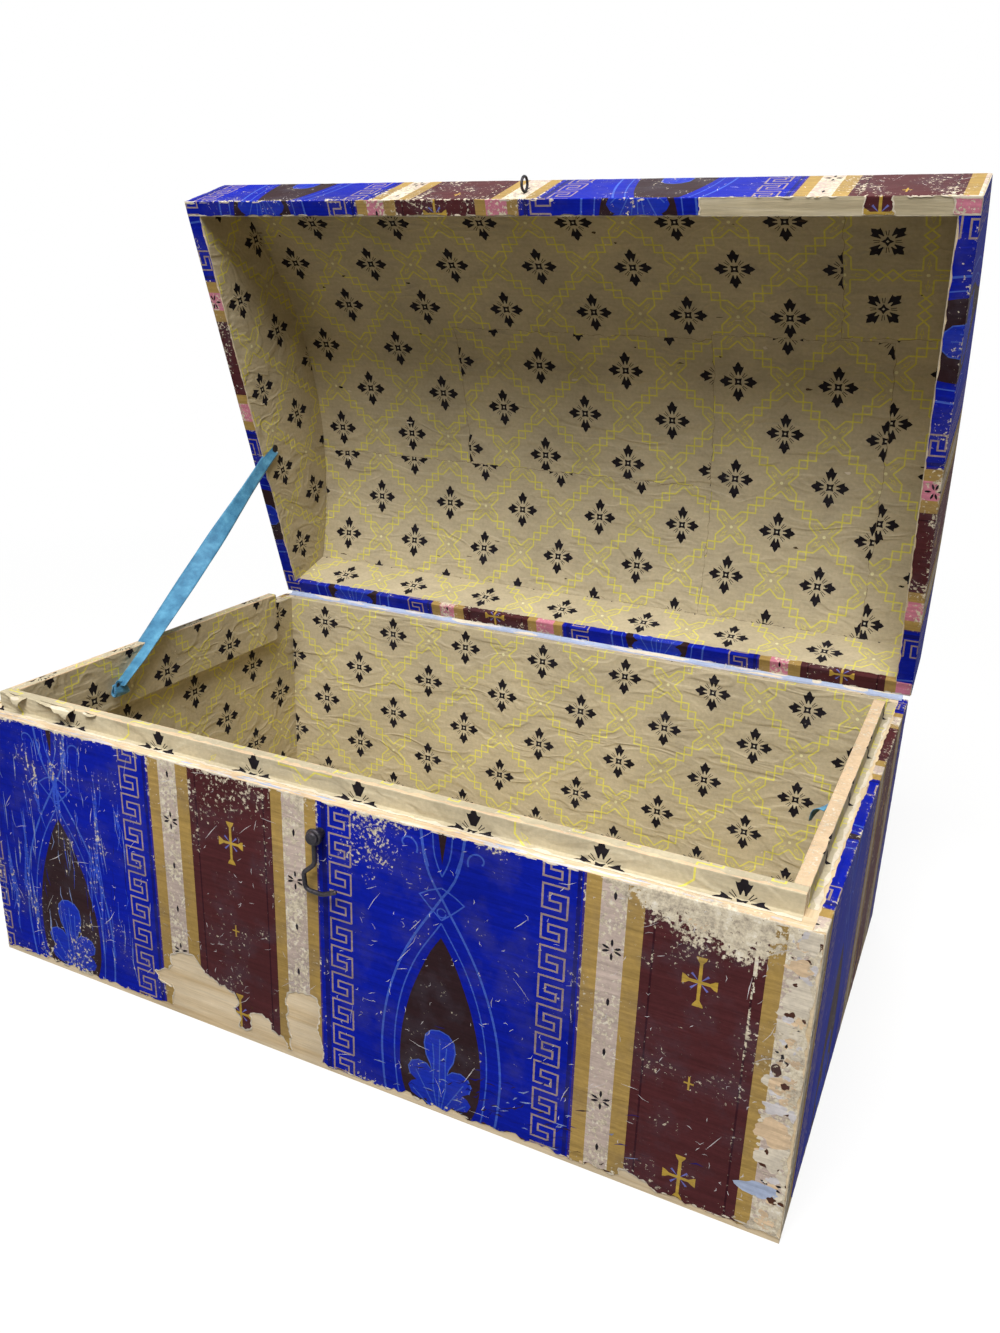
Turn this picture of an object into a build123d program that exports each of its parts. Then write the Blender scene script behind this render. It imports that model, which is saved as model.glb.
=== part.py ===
from build123d import *
import os
from math import asin, cos, radians, sin

os.makedirs("parts", exist_ok=True)

# Paper-covered pine box with an arched lid, standing open. Millimetres, +Z up.
# Origin: middle of the underside. +X runs along the length, the front faces -Y.

# Driving sizes of the box body
box_length = 600.0
box_depth = 372.4
box_height = 200.0
bottom_board_thick = 7.0
long_board_thick = 12.0
end_board_thick = 13.0
lip_thick = 8.0
lip_strip_height = 45.0
lip_rise = 12.4
end_lip_back_gap = 36.0
paper_thick = 0.4
paste_gap = 0.03
body_rim_turn = 6.5
paper_bottom_edge = 3.0

# Driving sizes of the lid
lid_overhang = 1.2
lid_rail_thick = 11.0
lid_end_thick = 12.0
lid_rail_height = 53.0
lid_crown_height = 110.0
lid_top_thick = 8.0
lid_rim_gap = 1.2
lid_open_angle = 71.4
top_board_count = 3
rail_nail_shares = (0.25, 0.65)

# Corner nails, the smaller sprigs of bottom and lid, short brads of the lid's rails, lip pins
nail_head_radius = 2.8
nail_head_thick = 1.0
nail_shank_radius = 1.3
nail_length = 30.0
nail_end_margin = 28.0
corner_nail_rows = 3
sprig_head_radius = 2.2
sprig_shank_radius = 1.0
sprig_length = 22.0
brad_length = 13.0
brad_edge_margin = 2.6
nail_sink = 0.05
long_side_nail_count = 4
short_side_nail_count = 2
top_nails_per_board = 2
lip_pin_radius = 0.7
lip_pin_length = 16.0
lip_pin_count = 4

# Strap hinges on the back
hinge_inset = 110.0
hinge_leaf_width = 24.0
hinge_leaf_height = 42.0
hinge_leaf_thick = 0.9
knuckle_radius = 1.9
hinge_pin_radius = 0.9
hinge_pin_head_radius = 1.7
hinge_pin_head_thick = 0.8
hinge_play = 0.3
running_clearance = 0.05
hinge_nail_length = 9.0
hinge_nail_radius = 0.9
hinge_nail_head_radius = 2.4
hinge_nail_head_thick = 0.8
hinge_near_share = 0.3
hinge_far_share = 0.78

# Hook on the body and wire eye on the lid
hook_pivot_x = -1.0
hook_pivot_drop = 21.2
hook_standoff = 7.6
hook_wire_radius = 1.5
hook_eye_radius = 4.1
hook_reach = 38.8
hook_shank_length = 19.0
hook_bend_side = 8.5
hook_tail_right = 14.5
hook_tail_lift = 4.3
hook_pin_radius = 2.2
hook_shoulder_radius = 3.4
hook_head_radius = 4.3
hook_head_thick = 2.0
hook_screw_depth = 10.0
hook_play = 0.3
eye_ring_radius = 4.9
eye_wire_radius = 1.0
eye_side_shift = -1.6
eye_depth = 9.0

# Ribbon stay at the left and the torn stub at the right
ribbon_width = 14.0
ribbon_thick = 0.6
ribbon_body_forward = 73.5
ribbon_body_drop = 25.0
ribbon_lid_forward = 149.0
ribbon_lid_up = 17.0
ribbon_fold_length = 14.0
ribbon_fold_thick = 2.6
stub_length = 11.0
stub_rise = 14.0
tack_head_radius = 3.4
tack_head_thick = 1.2
tack_shank_radius = 0.8
tack_length = 9.0

# Planes of the body that other pieces share
front_y = -box_depth / 2
back_y = box_depth / 2
front_inner_y = front_y + long_board_thick
back_inner_y = back_y - long_board_thick
end_x = box_length / 2
end_inner_x = end_x - end_board_thick
rim_z = box_height
floor_z = bottom_board_thick
lip_top_z = rim_z + lip_rise
lip_bottom_z = lip_top_z - lip_strip_height
end_lip_front_y = front_inner_y + lip_thick + paper_thick
end_lip_back_y = back_inner_y - end_lip_back_gap

# The lid is drawn on planes that turn with it about the hinge axis
hinge_axis_y = back_y + paper_thick + hinge_play + knuckle_radius
hinge_axis_z = rim_z + lid_rim_gap / 2
open_sin = sin(radians(lid_open_angle))
open_cos = cos(radians(lid_open_angle))
lid_forward = Vector(0, -open_cos, open_sin)
lid_up = Vector(0, open_sin, open_cos)


def lid_point(x, forward, up):
    return Vector(x, hinge_axis_y, hinge_axis_z) + lid_forward * forward + lid_up * up


# Lid places, measured forward of the hinge axis and up from it, as if it were shut
lid_length = box_length + 2 * lid_overhang
lid_back = hinge_axis_y - back_y
lid_front = hinge_axis_y - front_y + lid_overhang
lid_back_inner = lid_back + lid_rail_thick
lid_front_inner = lid_front - lid_rail_thick
lid_middle = (lid_back + lid_front) / 2
lid_rim = lid_rim_gap / 2
lid_half_depth = (lid_front - lid_back) / 2
lid_end_x = lid_length / 2
lid_end_inner_x = lid_end_x - lid_end_thick
arch_rise = lid_crown_height - lid_rail_height
arch_outer_radius = (lid_half_depth ** 2 + arch_rise ** 2) / (2 * arch_rise)
arch_inner_radius = arch_outer_radius - lid_top_thick
arch_centre_up = lid_rim + lid_crown_height - arch_outer_radius

# Section plane of the lid: its own x runs forward, its own y up
lid_section = Plane(origin=lid_point(0, 0, 0), x_dir=lid_forward, z_dir=(-1, 0, 0))


# Where the ribbon stay is tacked: on the left lip inside the box and on the lid's left end
lip_lining_x = -end_inner_x + lip_thick + paper_thick
lid_lining_x = -lid_end_inner_x + paper_thick
ribbon_body_end = Vector(
    lip_lining_x + ribbon_fold_thick + ribbon_thick / 2, -ribbon_body_forward, lip_top_z - ribbon_body_drop
)
ribbon_lid_end = lid_point(
    lid_lining_x + ribbon_thick, lid_back + ribbon_lid_forward, lid_rim + ribbon_lid_up
)
ribbon_run = ribbon_lid_end - ribbon_body_end
ribbon_plane = Plane(
    origin=(ribbon_body_end + ribbon_lid_end) * 0.5,
    x_dir=ribbon_run,
    z_dir=ribbon_run.cross(Vector(0, -ribbon_run.Z, ribbon_run.Y)),
)
print("ribbon stay, taut length", round(ribbon_run.length, 1))

body_tack_seat = Plane(origin=(lip_lining_x, ribbon_body_end.Y, ribbon_body_end.Z), z_dir=(1, 0, 0))
lid_tack_seat = Plane(origin=ribbon_lid_end - Vector(ribbon_thick, 0, 0), z_dir=(1, 0, 0))
body_tack_out = ribbon_fold_thick + 1.5 * ribbon_thick
lid_tack_out = 2 * ribbon_thick


def cut_tack_hole(seat, out):
    with BuildSketch(seat.offset(out)) as section:
        Circle(tack_shank_radius)
    extrude(section.sketch, amount=-tack_length, mode=Mode.SUBTRACT)


def rectangle_between(x_low, y_low, x_high, y_high):
    with Locations(((x_low + x_high) / 2, (y_low + y_high) / 2)):
        Rectangle(x_high - x_low, y_high - y_low)


def under_arch(radius):
    with Locations((lid_middle, arch_centre_up)):
        Circle(radius, mode=Mode.INTERSECT)


def block_between(low, high):
    # Rectangular board from its lowest to its highest corner
    with BuildSketch(Plane.XY.offset(low[2])) as section:
        rectangle_between(low[0], low[1], high[0], high[1])
    extrude(section.sketch, amount=high[2] - low[2])


def nails_on(planes, shank_radius, length, head_radius, head_thick):
    # Each plane lies on the wood with its normal pointing out; heads are flush
    with BuildSketch(*planes) as section:
        Circle(shank_radius)
    extrude(section.sketch, amount=-length)
    with BuildSketch(*planes) as section:
        Circle(head_radius)
    extrude(section.sketch, amount=-head_thick)


def seats_for(planes, shank_radius, length, head_radius, head_thick):
    # Holes that the same nails fill
    with BuildSketch(*planes) as section:
        Circle(shank_radius)
    extrude(section.sketch, amount=-length, mode=Mode.SUBTRACT)
    with BuildSketch(*planes) as section:
        Circle(head_radius)
    extrude(section.sketch, amount=-head_thick, mode=Mode.SUBTRACT)


nail = (nail_shank_radius, nail_length, nail_head_radius, nail_head_thick)
sprig = (sprig_shank_radius, sprig_length, sprig_head_radius, nail_head_thick)
lip_pin = (lip_pin_radius, lip_pin_length, lip_pin_radius * 2, nail_head_thick / 2)
brad = (sprig_shank_radius, brad_length, sprig_head_radius, nail_head_thick)

# Nail places on the body
corner_nail_span = rim_z - floor_z - 2 * nail_end_margin
corner_nail_heights = [
    floor_z + nail_end_margin + row * corner_nail_span / (corner_nail_rows - 1)
    for row in range(corner_nail_rows)
]
corner_nail_x = end_x - end_board_thick / 2
front_corner_nails = [
    Plane(origin=(side * corner_nail_x, front_y, height), z_dir=(0, -1, 0))
    for side in (-1, 1)
    for height in corner_nail_heights
]
back_corner_nails = [
    Plane(origin=(side * corner_nail_x, back_y, height), z_dir=(0, 1, 0))
    for side in (-1, 1)
    for height in corner_nail_heights
]


def spread(count, half_span):
    step = 2 * half_span / (count - 1)
    return [-half_span + step * place for place in range(count)]


long_side_nail_x = spread(long_side_nail_count, end_inner_x - nail_end_margin)
short_side_nail_y = spread(short_side_nail_count, back_inner_y - 3 * nail_end_margin)
front_bottom_nails = [
    Plane(origin=(x, front_y + long_board_thick / 2, 0), z_dir=(0, 0, -1))
    for x in long_side_nail_x
]
back_bottom_nails = [
    Plane(origin=(x, back_y - long_board_thick / 2, 0), z_dir=(0, 0, -1))
    for x in long_side_nail_x
]
end_bottom_nails = [
    Plane(origin=(side * corner_nail_x, y, 0), z_dir=(0, 0, -1))
    for side in (-1, 1)
    for y in short_side_nail_y
]
lip_pin_z = (lip_bottom_z + rim_z) / 2
front_lip_pins = [
    Plane(origin=(x, front_inner_y + lip_thick, lip_pin_z), z_dir=(0, 1, 0))
    for x in spread(lip_pin_count, end_inner_x - 2 * nail_end_margin)
]
end_lip_middle_y = (end_lip_front_y + end_lip_back_y) / 2
end_lip_half = (end_lip_back_y - end_lip_front_y) / 2
end_lip_pins = [
    Plane(origin=(side * (end_inner_x - lip_thick), end_lip_middle_y + y, lip_pin_z), z_dir=(-side, 0, 0))
    for side in (-1, 1)
    for y in spread(lip_pin_count - 1, end_lip_half - nail_end_margin)
]

# Hook pivot and hinge places, used by the boards they are fixed in
hook_y = front_y - hook_standoff
hook_pivot_z = rim_z - hook_pivot_drop
hook_seat = Plane(origin=(hook_pivot_x, front_y, hook_pivot_z), x_dir=(1, 0, 0), z_dir=(0, -1, 0))
hinge_x_places = [-end_x + hinge_inset, end_x - hinge_inset]
leaf_gap = knuckle_radius + 2 * hinge_play
hinge_nail_offsets = [
    (leaf_gap + hinge_leaf_height * hinge_near_share, -hinge_leaf_width / 4),
    (leaf_gap + hinge_leaf_height * hinge_near_share, hinge_leaf_width / 4),
    (leaf_gap + hinge_leaf_height * hinge_far_share, 0.0),
]
leaf_outer_y = back_y + paper_thick + hinge_leaf_thick
body_hinge_nails = [
    Plane(origin=(x + across, leaf_outer_y, hinge_axis_z - along), z_dir=(0, 1, 0))
    for x in hinge_x_places
    for along, across in hinge_nail_offsets
]
leaf_outer_forward = hinge_axis_y - leaf_outer_y
lid_hinge_nails = [
    Plane(origin=lid_point(x + across, leaf_outer_forward, along), z_dir=-lid_forward)
    for x in hinge_x_places
    for along, across in hinge_nail_offsets
]


def cut_hinge_nail_holes(planes):
    with BuildSketch(*planes) as section:
        Circle(hinge_nail_radius)
    extrude(section.sketch, amount=-hinge_nail_length, mode=Mode.SUBTRACT)


# Bottom board, nailed under the four walls
with BuildPart() as bottom_board:
    block_between((-end_x, front_y, 0), (end_x, back_y, floor_z))
    seats_for(front_bottom_nails + back_bottom_nails + end_bottom_nails, *sprig)

# Front and back boards run the full length and cover the ends
with BuildPart() as front_board:
    block_between((-end_x, front_y, floor_z), (end_x, front_inner_y, rim_z))
    seats_for(front_corner_nails, *nail)
    seats_for(front_bottom_nails, *sprig)
    seats_for(front_lip_pins, *lip_pin)
    with BuildSketch(hook_seat):
        Circle(hook_pin_radius)
    extrude(amount=-hook_screw_depth, mode=Mode.SUBTRACT)

with BuildPart() as back_board:
    block_between((-end_x, back_inner_y, floor_z), (end_x, back_y, rim_z))
    seats_for(back_corner_nails, *nail)
    seats_for(back_bottom_nails, *sprig)
    cut_hinge_nail_holes(body_hinge_nails)

with BuildPart() as left_end_board:
    block_between((-end_x, front_inner_y, floor_z), (-end_inner_x, back_inner_y, rim_z))
    seats_for(front_corner_nails + back_corner_nails, *nail)
    seats_for(end_bottom_nails, *sprig)
    seats_for(end_lip_pins, *lip_pin)

with BuildPart() as right_end_board:
    block_between((end_inner_x, front_inner_y, floor_z), (end_x, back_inner_y, rim_z))
    seats_for(front_corner_nails + back_corner_nails, *nail)
    seats_for(end_bottom_nails, *sprig)
    seats_for(end_lip_pins, *lip_pin)

# Lip strips stand above the rim and find their place inside the shut lid
with BuildPart() as front_lip:
    block_between(
        (-end_inner_x, front_inner_y, lip_bottom_z),
        (end_inner_x, front_inner_y + lip_thick, lip_top_z),
    )
    seats_for(front_lip_pins, *lip_pin)

with BuildPart() as left_lip:
    block_between(
        (-end_inner_x, end_lip_front_y, lip_bottom_z),
        (-end_inner_x + lip_thick, end_lip_back_y, lip_top_z),
    )
    seats_for(end_lip_pins, *lip_pin)
    cut_tack_hole(body_tack_seat, body_tack_out)

with BuildPart() as right_lip:
    block_between(
        (end_inner_x - lip_thick, end_lip_front_y, lip_bottom_z),
        (end_inner_x, end_lip_back_y, lip_top_z),
    )
    seats_for(end_lip_pins, *lip_pin)

# Nails of the body
with BuildPart() as corner_nails:
    nails_on(front_corner_nails + back_corner_nails, *nail)

with BuildPart() as bottom_nails:
    nails_on(front_bottom_nails + back_bottom_nails + end_bottom_nails, *sprig)

with BuildPart() as lip_pins:
    nails_on(front_lip_pins + end_lip_pins, *lip_pin)

# Outer papers of the body. The end papers turn over the outer half of the rim
with BuildPart() as front_paper:
    block_between((-end_x, front_y - paper_thick, paper_bottom_edge), (end_x, front_y, rim_z))
    with BuildSketch(hook_seat):
        Circle(hook_shoulder_radius)
    extrude(amount=paper_thick, mode=Mode.SUBTRACT)

with BuildPart() as back_paper:
    block_between((-end_x, back_y, paper_bottom_edge), (end_x, back_y + paper_thick, rim_z))
    cut_hinge_nail_holes(body_hinge_nails)


def end_paper_section(side):
    outer = (side * end_x, side * (end_x + paper_thick))
    turned = (side * (end_x - body_rim_turn), side * (end_x + paper_thick))
    rectangle_between(min(outer), paper_bottom_edge, max(outer), rim_z + paper_thick)
    rectangle_between(min(turned), rim_z, max(turned), rim_z + paper_thick)


# Section across the length at the front face; its own x is +X and its own y is +Z
front_section = Plane(origin=(0, front_y, 0), x_dir=(1, 0, 0), z_dir=(0, -1, 0))

with BuildPart() as left_end_paper:
    with BuildSketch(front_section):
        end_paper_section(-1)
    extrude(amount=-box_depth)

with BuildPart() as right_end_paper:
    with BuildSketch(front_section):
        end_paper_section(1)
    extrude(amount=-box_depth)


# Lining papers. Each one's section runs up the wall, round the lip and onto the rim.
# inner is the wall's inner face, and inward is +1 or -1, the way into the box.
def wall_strip(inner, inward, near, far, low, high):
    across = (inner + inward * near, inner + inward * far)
    rectangle_between(min(across), low, max(across), high)


def lip_lining_section(inner, inward):
    lip_paper = lip_thick + paper_thick
    lining_floor = floor_z + paper_thick
    wall_strip(inner, inward, 0, paper_thick, lining_floor, lip_bottom_z)
    wall_strip(inner, inward, 0, lip_paper, lip_bottom_z - paper_thick, lip_bottom_z)
    wall_strip(inner, inward, lip_thick, lip_paper, lip_bottom_z - paper_thick, lip_top_z + paper_thick)
    wall_strip(inner, inward, -paper_thick, lip_paper, lip_top_z, lip_top_z + paper_thick)
    wall_strip(inner, inward, -paper_thick, 0, rim_z, lip_top_z + paper_thick)
    wall_strip(inner, inward, paper_thick - body_rim_turn, 0, rim_z, rim_z + paper_thick)


def plain_lining_section(inner, inward):
    wall_strip(inner, inward, 0, paper_thick, floor_z + paper_thick, rim_z + paper_thick)
    wall_strip(inner, inward, paper_thick - body_rim_turn, paper_thick, rim_z, rim_z + paper_thick)


def behind_front(distance):
    return front_section.offset(-distance)


side_section = Plane(origin=(-end_inner_x, 0, 0), x_dir=(0, 1, 0), z_dir=(1, 0, 0))
end_lining_start = end_lip_front_y - front_y
end_lip_run = end_lip_back_y - end_lip_front_y
plain_run = back_inner_y - paper_thick - end_lip_back_y

with BuildPart() as floor_lining:
    block_between(
        (-end_inner_x, front_inner_y, floor_z),
        (end_inner_x, back_inner_y, floor_z + paper_thick),
    )

with BuildPart() as front_lining:
    with BuildSketch(side_section):
        lip_lining_section(front_inner_y, 1)
    extrude(amount=2 * end_inner_x)

with BuildPart() as back_lining:
    with BuildSketch(side_section):
        plain_lining_section(back_inner_y, -1)
    extrude(amount=2 * end_inner_x)


def end_lining(side):
    # Wraps the lip along its run, then goes straight up the wall to the back corner
    with BuildSketch(behind_front(end_lining_start)) as section:
        lip_lining_section(side * end_inner_x, -side)
    extrude(section.sketch, amount=-end_lip_run)
    with BuildSketch(behind_front(end_lining_start + end_lip_run)) as section:
        plain_lining_section(side * end_inner_x, -side)
    extrude(section.sketch, amount=-plain_run)


with BuildPart() as left_lining:
    end_lining(-1)
    cut_tack_hole(body_tack_seat, body_tack_out)

with BuildPart() as right_lining:
    end_lining(1)


# Lid rails and ends stand under the bent top boards
def lid_section_at(x):
    return lid_section.offset(-x)


def lid_strip(x_low, x_high, forward_low, forward_high, up_low, up_high, radius):
    # A strip along X, its section a rectangle cut off by the arch of this radius
    with BuildSketch(lid_section_at(x_low)) as section:
        rectangle_between(forward_low, up_low, forward_high, up_high)
        under_arch(radius)
    extrude(section.sketch, amount=x_low - x_high)


lid_crown = lid_rim + lid_crown_height
rail_nail_heights = [lid_rim + lid_rail_height * share for share in rail_nail_shares]
lid_nail_x = lid_end_x - lid_end_thick / 2
lid_front_nails = [
    Plane(origin=lid_point(side * lid_nail_x, lid_front, up), z_dir=lid_forward)
    for side in (-1, 1)
    for up in rail_nail_heights
]
lid_back_nails = [
    Plane(origin=lid_point(side * lid_nail_x, lid_back, up), z_dir=-lid_forward)
    for side in (-1, 1)
    for up in rail_nail_heights
]

# Top boards share the arch; nails go in square to it
top_board_width = 2 * lid_half_depth / top_board_count
top_board_edges = [lid_back + top_board_width * place for place in range(top_board_count + 1)]


def top_nail_plane(x, forward):
    turn = asin((forward - lid_middle) / arch_outer_radius)
    out = lid_forward * sin(turn) + lid_up * cos(turn)
    centre = lid_point(x, lid_middle, arch_centre_up)
    return Plane(origin=centre + out * (arch_outer_radius - nail_sink), z_dir=out)


end_nail_forwards = [
    edge + top_board_width * (place + 1) / (top_nails_per_board + 1)
    for edge in top_board_edges[:-1]
    for place in range(top_nails_per_board)
]
top_end_nails = [
    top_nail_plane(side * lid_nail_x, forward)
    for side in (-1, 1)
    for forward in end_nail_forwards
]
top_rail_nails = [
    top_nail_plane(x, forward)
    for x in spread(long_side_nail_count, lid_end_inner_x - 3 * nail_end_margin)
    for forward in (lid_back + brad_edge_margin, lid_front - brad_edge_margin)
]

eye_x = hook_pivot_x + eye_side_shift
eye_forward = hinge_axis_y - hook_y
eye_up = hook_pivot_z + hook_reach - hinge_axis_z
eye_seat = Plane(origin=lid_point(eye_x, lid_front, eye_up), z_dir=lid_forward)
eye_centre_out = eye_forward - lid_front

with BuildPart() as lid_front_rail:
    lid_strip(-lid_end_x, lid_end_x, lid_front_inner, lid_front, lid_rim, lid_crown, arch_inner_radius)
    seats_for(lid_front_nails, *sprig)
    seats_for(top_rail_nails, *brad)
    with BuildSketch(eye_seat):
        Circle(eye_wire_radius)
    extrude(amount=-eye_depth, mode=Mode.SUBTRACT)

with BuildPart() as lid_back_rail:
    lid_strip(-lid_end_x, lid_end_x, lid_back, lid_back_inner, lid_rim, lid_crown, arch_inner_radius)
    seats_for(lid_back_nails, *sprig)
    seats_for(top_rail_nails, *brad)
    cut_hinge_nail_holes(lid_hinge_nails)

with BuildPart() as lid_left_end:
    lid_strip(
        -lid_end_x, -lid_end_inner_x, lid_back_inner, lid_front_inner, lid_rim, lid_crown, arch_inner_radius
    )
    seats_for(lid_front_nails + lid_back_nails, *sprig)
    seats_for(top_end_nails, *sprig)
    cut_tack_hole(lid_tack_seat, lid_tack_out)

with BuildPart() as lid_right_end:
    lid_strip(
        lid_end_inner_x, lid_end_x, lid_back_inner, lid_front_inner, lid_rim, lid_crown, arch_inner_radius
    )
    seats_for(lid_front_nails + lid_back_nails, *sprig)
    seats_for(top_end_nails, *sprig)


def arch_shell(x_low, x_high, forward_low, forward_high, outer_radius, inner_radius):
    # Slice of the arch between two radii, cut square to the rim at both edges
    with BuildSketch(lid_section_at(x_low)) as section:
        rectangle_between(forward_low, lid_rim, forward_high, lid_crown + lid_top_thick)
        under_arch(outer_radius)
        with Locations((lid_middle, arch_centre_up)):
            Circle(inner_radius, mode=Mode.SUBTRACT)
    extrude(section.sketch, amount=x_low - x_high)


def top_board(place):
    arch_shell(
        -lid_end_x, lid_end_x, top_board_edges[place], top_board_edges[place + 1],
        arch_outer_radius, arch_inner_radius,
    )
    seats_for(top_end_nails, *sprig)
    seats_for(top_rail_nails, *brad)


with BuildPart() as lid_top_back_board:
    top_board(0)

with BuildPart() as lid_top_middle_board:
    top_board(1)

with BuildPart() as lid_top_front_board:
    top_board(2)

with BuildPart() as lid_rail_nails:
    nails_on(lid_front_nails + lid_back_nails, *sprig)

with BuildPart() as lid_top_nails:
    nails_on(top_end_nails, *sprig)
    nails_on(top_rail_nails, *brad)

# Outer papers of the lid; those of the rails and ends turn under the lid's rim
with BuildPart() as lid_top_paper:
    arch_shell(
        -lid_end_x, lid_end_x, lid_back, lid_front,
        arch_outer_radius + paper_thick, arch_outer_radius + paste_gap,
    )

with BuildPart() as lid_front_paper:
    with BuildSketch(lid_section_at(-lid_end_x)):
        rectangle_between(lid_front, lid_rim - paper_thick, lid_front + paper_thick, lid_rim + lid_rail_height)
        rectangle_between(lid_front_inner, lid_rim - paper_thick, lid_front, lid_rim)
    extrude(amount=-lid_length)
    with BuildSketch(eye_seat):
        Circle(eye_wire_radius)
    extrude(amount=eye_centre_out, mode=Mode.SUBTRACT)

with BuildPart() as lid_back_paper:
    with BuildSketch(lid_section_at(-lid_end_x)):
        rectangle_between(lid_back - paper_thick, lid_rim - paper_thick, lid_back, lid_rim + lid_rail_height)
        rectangle_between(lid_back, lid_rim - paper_thick, lid_back_inner, lid_rim)
    extrude(amount=-lid_length)
    cut_hinge_nail_holes(lid_hinge_nails)


def lid_end_paper(x_inner, x_outer, rim_low, rim_high):
    lid_strip(
        x_inner, x_outer, lid_back, lid_front, lid_rim - paper_thick, lid_crown + lid_top_thick,
        arch_outer_radius + paper_thick,
    )
    with BuildSketch(lid_section_at(rim_low)) as section:
        rectangle_between(lid_back_inner, lid_rim - paper_thick, lid_front_inner, lid_rim)
    extrude(section.sketch, amount=rim_low - rim_high)


with BuildPart() as lid_left_paper:
    lid_end_paper(-lid_end_x - paper_thick, -lid_end_x, -lid_end_x, -lid_end_inner_x)

with BuildPart() as lid_right_paper:
    lid_end_paper(lid_end_x, lid_end_x + paper_thick, lid_end_inner_x, lid_end_x)

# Lining papers of the lid
lining_arch_radius = arch_inner_radius - paper_thick

with BuildPart() as lid_top_lining:
    arch_shell(
        -lid_end_inner_x, lid_end_inner_x, lid_back_inner, lid_front_inner,
        arch_inner_radius - paste_gap, lining_arch_radius,
    )

with BuildPart() as lid_front_lining:
    lid_strip(
        -lid_end_inner_x, lid_end_inner_x, lid_front_inner - paper_thick, lid_front_inner,
        lid_rim, lid_crown, lining_arch_radius,
    )

with BuildPart() as lid_back_lining:
    lid_strip(
        -lid_end_inner_x, lid_end_inner_x, lid_back_inner, lid_back_inner + paper_thick,
        lid_rim, lid_crown, lining_arch_radius,
    )

with BuildPart() as lid_left_lining:
    lid_strip(
        -lid_end_inner_x, -lid_end_inner_x + paper_thick,
        lid_back_inner + paper_thick, lid_front_inner - paper_thick,
        lid_rim, lid_crown, lining_arch_radius,
    )
    cut_tack_hole(lid_tack_seat, lid_tack_out)

with BuildPart() as lid_right_lining:
    lid_strip(
        lid_end_inner_x - paper_thick, lid_end_inner_x,
        lid_back_inner + paper_thick, lid_front_inner - paper_thick,
        lid_rim, lid_crown, lining_arch_radius,
    )

# Hinges. Two outer knuckles belong to the body leaf and the middle one to the lid leaf
knuckle_length = hinge_leaf_width / 3
hinge_section = Plane(origin=(0, hinge_axis_y, hinge_axis_z), x_dir=(0, 1, 0), z_dir=(1, 0, 0))
lid_hinge_section = Plane(origin=(0, hinge_axis_y, hinge_axis_z), x_dir=-lid_forward, z_dir=(1, 0, 0))
leaf_inner_offset = back_y + paper_thick - hinge_axis_y
leaf_outer_offset = leaf_inner_offset + hinge_leaf_thick


def hinge_leaf(leaf_section, hinge_x, way, knuckle_places, nail_planes):
    # way is -1 for a leaf that hangs below the axis and +1 for one above it
    reach = (way * leaf_gap, way * (leaf_gap + hinge_leaf_height))
    with BuildSketch(leaf_section.offset(hinge_x - hinge_leaf_width / 2)) as section:
        rectangle_between(leaf_inner_offset, min(reach), leaf_outer_offset, max(reach))
    extrude(section.sketch, amount=hinge_leaf_width)
    for place in knuckle_places:
        start = hinge_x - hinge_leaf_width / 2 + place * knuckle_length + hinge_play / 2
        with BuildSketch(leaf_section.offset(start)) as section:
            Circle(knuckle_radius)
            tongue = (0, way * (leaf_gap + hinge_leaf_thick))
            rectangle_between(leaf_inner_offset + hinge_play, min(tongue), leaf_outer_offset, max(tongue))
            Circle(hinge_pin_radius + running_clearance, mode=Mode.SUBTRACT)
        extrude(section.sketch, amount=knuckle_length - hinge_play)
    with BuildSketch(*nail_planes) as section:
        Circle(hinge_nail_radius)
    extrude(section.sketch, amount=-hinge_leaf_thick, mode=Mode.SUBTRACT)


def hinge_pin(hinge_x):
    with BuildSketch(hinge_section.offset(hinge_x - hinge_leaf_width / 2)) as section:
        Circle(hinge_pin_radius)
    extrude(section.sketch, amount=hinge_leaf_width)
    with BuildSketch(
        hinge_section.offset(hinge_x - hinge_leaf_width / 2 - hinge_pin_head_thick),
        hinge_section.offset(hinge_x + hinge_leaf_width / 2),
    ) as section:
        Circle(hinge_pin_head_radius)
    extrude(section.sketch, amount=hinge_pin_head_thick)


def hinge_nails(planes):
    with BuildSketch(*planes) as section:
        Circle(hinge_nail_radius)
    extrude(section.sketch, amount=-hinge_nail_length)
    with BuildSketch(*planes) as section:
        Circle(hinge_nail_head_radius)
    extrude(section.sketch, amount=hinge_nail_head_thick)


nails_per_leaf = len(hinge_nail_offsets)
left_body_nails = body_hinge_nails[:nails_per_leaf]
right_body_nails = body_hinge_nails[nails_per_leaf:]
left_lid_nails = lid_hinge_nails[:nails_per_leaf]
right_lid_nails = lid_hinge_nails[nails_per_leaf:]

with BuildPart() as left_hinge_body_leaf:
    hinge_leaf(hinge_section, hinge_x_places[0], -1, (0, 2), left_body_nails)

with BuildPart() as right_hinge_body_leaf:
    hinge_leaf(hinge_section, hinge_x_places[1], -1, (0, 2), right_body_nails)

with BuildPart() as left_hinge_lid_leaf:
    hinge_leaf(lid_hinge_section, hinge_x_places[0], 1, (1,), left_lid_nails)

with BuildPart() as right_hinge_lid_leaf:
    hinge_leaf(lid_hinge_section, hinge_x_places[1], 1, (1,), right_lid_nails)

with BuildPart() as left_hinge_pin:
    hinge_pin(hinge_x_places[0])

with BuildPart() as right_hinge_pin:
    hinge_pin(hinge_x_places[1])

with BuildPart() as body_hinge_nail_set:
    hinge_nails(body_hinge_nails)

with BuildPart() as lid_hinge_nail_set:
    hinge_nails(lid_hinge_nails)

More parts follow.
